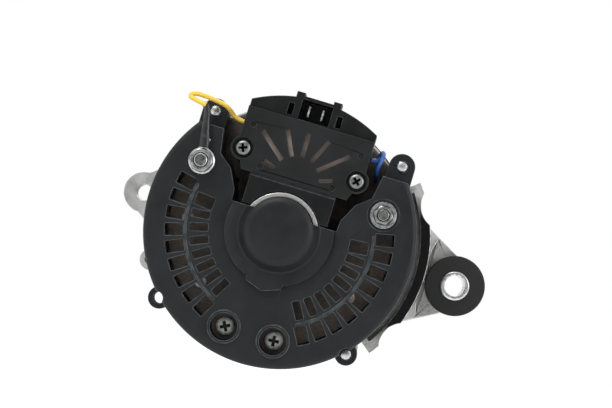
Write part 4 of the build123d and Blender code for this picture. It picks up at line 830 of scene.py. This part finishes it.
def finish_of(node):
    """The material of a carried piece's slot."""
    return material_of[slot_of[node]]


# ---------------------------------------------------------------- operators
class ALTERNATOR_OT_finishes(bpy.types.Operator):
    """Give every carried piece its finish"""
    bl_idname = "alternator.finishes"
    bl_label = "Finishes"

    def execute(self, context):
        material_of.update(make_finishes())
        for node, piece in frame["nodes"].items():
            piece.data.materials.clear()
            piece.data.materials.append(finish_of(node))
        return {"FINISHED"}


class ALTERNATOR_OT_mouldings(bpy.types.Operator):
    """Round the edges of the rear cover, cap, regulator and brush holder"""
    bl_idname = "alternator.mouldings"
    bl_label = "Mouldings"

    def execute(self, context):
        for node in ("rear_cover", "slip_ring_cap", "regulator_cover", "regulator_body", "brush_holder"):
            width = detail().plate_edge if node == "regulator_cover" else detail().cover_edge
            softened(node, width, finish_of(node))
        return {"FINISHED"}


class ALTERNATOR_OT_castings(bpy.types.Operator):
    """Round the edges of the two brackets"""
    bl_idname = "alternator.castings"
    bl_label = "Castings"

    def execute(self, context):
        softened("drive_end_bracket", detail().rim_edge, finish_of("drive_end_bracket"), segments=1)
        rear = rear_casting("rear casting", tuple(finishes().casting))
        softened("rear_bracket", detail().cast_edge, rear)
        return {"FINISHED"}


def polar(radius, angle):
    """A point across and up from its radius and its angle as seen from behind."""
    return radius * cos(radians(angle)), radius * sin(radians(angle))


class ALTERNATOR_OT_terminals(bpy.types.Operator):
    """Threaded studs, nuts, washer and ring terminal"""
    bl_idname = "alternator.terminals"
    bl_label = "Terminals"

    def execute(self, context):
        zinc = material_of["zinc_plate"]
        output = on_machine(stud(*M6, 136.6, point=0.8, darkness=0.65), -STUD[0], STUD[1])
        dress(smooth(output, 35), "output_stud_threaded", zinc, "housing", "output_stud")
        flange = lathe([(3.02, 0), (6.2, 0), (6.2, 0.75), (5.5, 1.3), (4.2, 1.9), (3.02, 1.9), (3.02, 0)], 64)
        # Painted shade on the flange where the hexagon stands on it.
        marked(flange, "shade_and_grime", lambda face: 0.75 * (face.center.xy.length < 5.4 * MM))
        nut = joined([darkened_nut(10.0, 6.0, 3.02, 1.0), flange])
        on_machine(rounded(nut, 0.2 * MM, 28), -STUD[0], STUD[1], COVER_FACE + 1.0)
        dress(smooth(nut, 40), "output_flange_nut", zinc, "housing", "output_nut")
        excitation = on_machine(stud(*M5, 133.8, point=0.7, darkness=0.55), *STUD)
        dress(smooth(excitation, 35), "excitation_stud_threaded", zinc, "housing", "excitation_stud")
        nut = rounded(darkened_nut(8.0, 4.0, 2.52), 0.18 * MM, 28)
        on_machine(nut, *STUD, COVER_FACE + 0.2)
        dress(smooth(nut, 40), "excitation_hexagon_nut", zinc, "housing", "excitation_nut")
        washer = lathe([
            (2.52, 0.15), (2.7, 0), (5.9, 0), (6.2, 0.3), (6.2, 0.95), (5.95, 1.2), (4.7, 1.2), (2.75, 1.2),
            (2.52, 1.0), (2.52, 0.15),
        ], 64)
        # Painted shade on the washer where the nut sits on it.
        marked(washer, "shade_and_grime", lambda face: 0.85 * (face.center.xy.length < 4.7 * MM))
        on_machine(washer, *STUD, COVER_FACE - 1.0)
        dress(smooth(washer, 35), "excitation_flat_washer", zinc, "housing", "excitation_washer")
        softened("ring_terminal", 0.12 * MM, finish_of("ring_terminal"))
        return {"FINISHED"}


class ALTERNATOR_OT_screws(bpy.types.Operator):
    """Cross-recess screws of the regulator and the rectifier"""
    bl_idname = "alternator.screws"
    bl_label = "Screws"

    def execute(self, context):
        screw_pair("regulator_cross_screws", "regulator_screws", finish_of("regulator_screws"),
                   REGULATOR_SCREW, 124.8, turns=(20, 48), sizes=(3.7, 2.3, 2.0, 21.0))
        dull = plated("dull zinc", (0.62, 0.64, 0.62), rough=0.50, metal=0.35)
        screw_pair("rectifier_cross_screws", "rectifier_screws", dull,
                   ACCESS_HOLE, 117.0, turns=(28, 5), sizes=(4.4, 3.0, 2.0, 15.0))
        return {"FINISHED"}


class ALTERNATOR_OT_bolts(bpy.types.Operator):
    """Through bolts with washer faces, threads and chamfered tips"""
    bl_idname = "alternator.bolts"
    bl_label = "Through bolts"

    def execute(self, context):
        seat, top = BOLT_SEAT, BOLT_SEAT - BOLT_HEAD
        bolts = []
        for angle in (*BOLT_ANGLES, SHORT_BOLT_ANGLE):
            tip = SHORT_BOLT_TIP if angle == SHORT_BOLT_ANGLE else BOLT_TIP
            neck = tip - BOLT_THREAD
            shank = lathe([(0, seat - 1), (2.3, seat - 1), (2.3, neck), (0, neck)], 24)
            end = thread(*M5, neck, tip, 0.9)
            cap = lathe([(0, top), (3.2, top), (4.75, top + 0.9), (4.75, seat), (0, seat)], 48)
            prism = bench("cylinder", vertices=6, radius=4.619 * MM, depth=BOLT_HEAD * MM,
                          location=(0, 0, (seat - BOLT_HEAD / 2) * MM))
            cap = combine(prism, cap, "INTERSECT")
            bolts.append(on_machine(joined([shank, end, cap]), *polar(BOLT_CIRCLE, angle)))
        bolts = rounded(joined(bolts), 0.08 * MM, 40, segments=1)
        dress(smooth(bolts, 40), "through_bolts_threaded", finish_of("through_bolts"), "housing",
              "through_bolts")
        return {"FINISHED"}


class ALTERNATOR_OT_leads(bpy.types.Operator):
    """The yellow and blue leads, and the shrunk sleeve over the yellow one's end"""
    bl_idname = "alternator.leads"
    bl_label = "Leads"

    def execute(self, context):
        yellow = rod((
            (-30.4, 44.6, 117.0), (-35.6, 44.8, 116.6), (-40.2, 49.4, 119.2), (-48.0, 50.3, 124.2),
            (-55.6, 50.6, 127.2), (-58.2, 48.2, 129.6), (-54.4, 47.0, 132.2), (-49.0, 46.3, 132.3),
        ), 1.1)
        dress(yellow, "yellow_lead", material_of["yellow_insulation"], "housing", "yellow_wire")
        blue = rod((
            (30.4, 44.8, 115.0), (32.8, 44.2, 113.4), (33.8, 46.4, 111.2), (35.6, 50.6, 112.6),
            (35.9, 46.6, 119.8), (34.6, 41.0, 118.4), (35.2, 37.6, 110.0), (35.4, 36.6, 102.0),
        ), 1.15)
        dress(blue, "blue_lead", material_of["blue_insulation"], "housing", "blue_wire")
        sleeve = rod((
            (-50.2, 46.5, 132.4, 0.66), (-48.7, 46.0, 132.3, 0.66), (-47.7, 43.4, 131.6, 0.70),
            (-46.8, 39.0, 131.0, 0.80), (-45.8, 34.0, 130.7, 1.0), (-44.9, 30.4, 130.6, 1.2),
            (-44.5, 27.2, 130.5, 1.18),
        ), 2.0, sides=16)
        flatness, level = 0.65, 130.8       # pressed flat along the shaft, about its own middle
        sleeve.location = (0, (1 - flatness) * -level * MM, 0)
        sleeve.scale = (1, flatness, 1)
        dress(settle(sleeve), "shrunk_sleeve", heat_shrink("heat shrink"), "housing", "heat_shrink_sleeve")
        return {"FINISHED"}


class ALTERNATOR_OT_windings(bpy.types.Operator):
    """Stator end turns as bundles of enamelled wire, and the turns of the field coil"""
    bl_idname = "alternator.windings"
    bl_label = "Windings"

    def execute(self, context):
        copper = material_of["copper_wire"]
        slots, span, wire = 36, 30.0, 0.60

        def strand(layer, column, start, away):
            """One wire: out of a slot near the bore, over the top, and into a slot further round."""
            near, far = 50.7 + 1.22 * layer, 54.3 + 1.1 * layer
            lean = column * 0.75
            stations = ((near, 0, -2), (near, 0, 3.4), (near + 0.5, 0.22, 6.2), ((near + far) / 2, 0.5, 7.9),
                        (far - 0.5, 0.78, 6.2), (far, 1, 3.4), (far, 1, -2))
            route = []
            for radius, part, out in stations:
                across, up = polar(radius, span * part + lean)
                route.append((across, up, start + away * (out - 0.35 * (2 - layer))))
            return rod(route, wire, sides=4, smoothness=3)

        ends = []
        for start, away in ((59.5, -1), (87.5, 1)):
            loop = joined([strand(layer, column, start, away) for layer in range(3) for column in (-1, 1)])
            loops = [loop]
            for index in range(1, slots):
                copy = twin(loop)
                copy.rotation_euler = (0, radians(-360 / slots * index), 0)
                loops.append(settle(copy))
            ends.append(joined(loops))
        dress(smooth(joined(ends), 60), "stator_end_turns", copper, "housing", "stator_winding")
        turns, front, back, inner, outer = 21, 63.4, 83.6, 14.4, 29.7
        pitch = (back - front) / turns
        outline = [(inner, front), (outer - pitch / 2, front)]
        for index in range(turns):
            for part, rise in ((0.15, 0.30), (0.5, 0.5), (0.85, 0.30)):
                outline.append((outer - pitch / 2 + rise * pitch, front + (index + part) * pitch))
            outline.append((outer - pitch / 2, front + (index + 1) * pitch))
        outline += [(inner, back), (inner, front)]
        coil = on_machine(lathe(outline, 64))
        dress(smooth(coil, 60), "field_coil_turns", copper, "rotor", "field_coil")
        return {"FINISHED"}


class ALTERNATOR_OT_drive(bpy.types.Operator):
    """Pulley, fan, washer, claw poles, nut, bush and sleeve"""
    bl_idname = "alternator.drive"
    bl_label = "Pulley and fan"

    def execute(self, context):
        sheet = plated("plated sheet", shade(finishes().zinc, 0.66), rough=0.36, spots=16, dark=0.84,
                       pale=1.08)
        for node in ("pulley", "fan"):
            softened(node, detail().metal_edge, sheet)
        for node in ("pulley_washer", "pivot_bush", "pivot_sleeve", "front_claw_pole", "rear_claw_pole"):
            softened(node, detail().metal_edge, finish_of(node))
        nut = hexagon_nut(24.0, 10.0, 7.95)
        on_machine(rounded(nut, 0.25 * MM, 28), 0, 0, PULLEY_NUT_FOOT)
        dress(smooth(nut, 40), "pulley_hexagon_nut", finish_of("pulley_nut"), "rotor", "pulley_nut")
        return {"FINISHED"}


class ALTERNATOR_OT_stage(bpy.types.Operator):
    """Floor, world, lamps and the camera at the photograph's angle"""
    bl_idname = "alternator.stage"
    bl_label = "Stage"

    def execute(self, context):
        settings = context.scene.alternator_stage
        make_floor(settings)
        make_flag()
        make_world(settings)
        make_lamps(settings)
        make_camera(settings)
        context.scene.view_settings.view_transform = "Standard"
        return {"FINISHED"}


def seen_white(nodes, links):
    """Whether a ray comes from the camera, from gloss or through glass."""
    path = nodes.new("ShaderNodeLightPath")
    seen = path.outputs["Is Camera Ray"]
    for kind in ("Is Glossy Ray", "Is Transmission Ray"):
        either = nodes.new("ShaderNodeMath")
        either.operation = "MAXIMUM"
        links.new(seen, either.inputs[0])
        links.new(path.outputs[kind], either.inputs[1])
        seen = either.outputs[0]
    return seen


def make_world(settings):
    """White where it is seen, and softer where it only lights."""
    world = bpy.data.worlds.new("studio")
    bpy.context.scene.world = world
    world.use_nodes = True
    nodes, links = world.node_tree.nodes, world.node_tree.links
    plain = nodes["Background"]
    plain.inputs["Color"].default_value = (1, 1, 1, 1)
    plain.inputs["Strength"].default_value = settings.world_light
    white = nodes.new("ShaderNodeBackground")
    white.inputs["Color"].default_value = (1, 1, 1, 1)
    white.inputs["Strength"].default_value = 1.0
    mix = nodes.new("ShaderNodeMixShader")
    links.new(seen_white(nodes, links), mix.inputs["Fac"])
    links.new(plain.outputs[0], mix.inputs[1])
    links.new(white.outputs[0], mix.inputs[2])
    links.new(mix.outputs[0], nodes["World Output"].inputs["Surface"])


def make_floor(settings):
    """Pale paper that looks white but keeps the shadow."""
    bpy.ops.object.select_all(action="DESELECT")
    bpy.ops.mesh.primitive_plane_add(size=12, location=(0, 0, cad_low.z - settings.floor_drop))
    floor = bpy.context.object
    floor.name = "studio_floor"
    paper = bpy.data.materials.new("floor paper")
    paper.use_nodes = True
    nodes, links = paper.node_tree.nodes, paper.node_tree.links
    shader = nodes["Principled BSDF"]
    shader.inputs["Base Color"].default_value = (0.86, 0.86, 0.86, 1)
    shader.inputs["Roughness"].default_value = 0.9
    shader.inputs["Specular IOR Level"].default_value = 0.0
    shader.inputs["Emission Color"].default_value = (1, 1, 1, 1)
    glow = nodes.new("ShaderNodeMath")
    glow.operation = "MULTIPLY"
    glow.inputs[1].default_value = 0.55
    links.new(seen_white(nodes, links), glow.inputs[0])
    links.new(glow.outputs[0], shader.inputs["Emission Strength"])
    floor.data.materials.append(paper)


def make_flag():
    """A dark card behind the camera, so that metal has something dark to mirror."""
    bpy.ops.object.select_all(action="DESELECT")
    bpy.ops.mesh.primitive_plane_add(size=1.5, location=(0.1, -1.9, 0.05), rotation=(pi / 2, 0, 0))
    flag = bpy.context.object
    flag.name = "studio_flag"
    flag.visible_camera = False
    flag.visible_diffuse = False
    flag.visible_shadow = False
    cloth = bpy.data.materials.new("flag cloth")
    cloth.use_nodes = True
    cloth.node_tree.nodes["Principled BSDF"].inputs["Base Color"].default_value = (0.20, 0.20, 0.20, 1)
    flag.data.materials.append(cloth)


def make_lamps(settings):
    """Three soft round lamps, aimed at the middle of the alternator."""
    lamps = (
        ("key", (-0.55, -0.75, 0.85), 0.55, 8.5),
        ("fill", (0.85, -0.65, 0.35), 0.60, 4.0),
        ("front_fill", (0.15, 0.95, 0.55), 0.70, 3.2),
    )
    for name, place, size, power in lamps:
        bpy.ops.object.select_all(action="DESELECT")
        bpy.ops.object.light_add(type="AREA", location=place)
        lamp = bpy.context.object
        lamp.name = name + "_lamp"
        lamp.data.shape = "DISK"
        lamp.data.size = size
        lamp.data.energy = power * settings.lamp_light
        aim = Vector((0, -0.07, 0)) - Vector(place)
        lamp.rotation_euler = aim.to_track_quat("-Z", "Y").to_euler()


def make_camera(settings):
    """The camera as it stood for the photograph."""
    bpy.ops.object.select_all(action="DESELECT")
    bpy.ops.object.camera_add(location=settings.place)
    camera = bpy.context.object
    turn = Matrix.Rotation(settings.pan, 3, "Z") @ Matrix.Rotation(pi / 2 + settings.tilt, 3, "X")
    camera.rotation_euler = (turn @ Matrix.Rotation(settings.roll, 3, "Z")).to_euler()
    camera.data.sensor_width = 36
    camera.data.lens = settings.lens
    camera.data.clip_end = 50
    bpy.context.scene.camera = camera


class ALTERNATOR_PT_panel(bpy.types.Panel):
    """Buttons for each group of pieces"""
    bl_idname = "ALTERNATOR_PT_panel"
    bl_label = "Alternator"
    bl_space_type = "VIEW_3D"
    bl_region_type = "UI"
    bl_category = "Alternator"

    def draw(self, context):
        for operator in OPERATORS:
            self.layout.operator(operator.bl_idname)
        for group in (context.scene.alternator_finish, context.scene.alternator_detail,
                      context.scene.alternator_stage):
            box = self.layout.box()
            for name in group.bl_rna.properties.keys():
                if name not in {"rna_type", "name"}:
                    box.prop(group, name)


OPERATORS = (
    ALTERNATOR_OT_finishes, ALTERNATOR_OT_mouldings, ALTERNATOR_OT_castings, ALTERNATOR_OT_terminals,
    ALTERNATOR_OT_screws, ALTERNATOR_OT_bolts, ALTERNATOR_OT_leads, ALTERNATOR_OT_windings,
    ALTERNATOR_OT_drive, ALTERNATOR_OT_stage,
)
CLASSES = (FinishSettings, DetailSettings, StageSettings, *OPERATORS, ALTERNATOR_PT_panel)


def register():
    for each in CLASSES:
        bpy.utils.register_class(each)
    bpy.types.Scene.alternator_finish = bpy.props.PointerProperty(type=FinishSettings)
    bpy.types.Scene.alternator_detail = bpy.props.PointerProperty(type=DetailSettings)
    bpy.types.Scene.alternator_stage = bpy.props.PointerProperty(type=StageSettings)


def unregister():
    del bpy.types.Scene.alternator_stage
    del bpy.types.Scene.alternator_detail
    del bpy.types.Scene.alternator_finish
    for each in reversed(CLASSES):
        bpy.utils.unregister_class(each)


def main():
    register()
    bpy.ops.alternator.finishes()
    bpy.ops.alternator.mouldings()
    bpy.ops.alternator.castings()
    bpy.ops.alternator.terminals()
    bpy.ops.alternator.screws()
    bpy.ops.alternator.bolts()
    bpy.ops.alternator.leads()
    bpy.ops.alternator.windings()
    bpy.ops.alternator.drive()
    bpy.ops.alternator.stage()


if __name__ == "__main__":
    main()
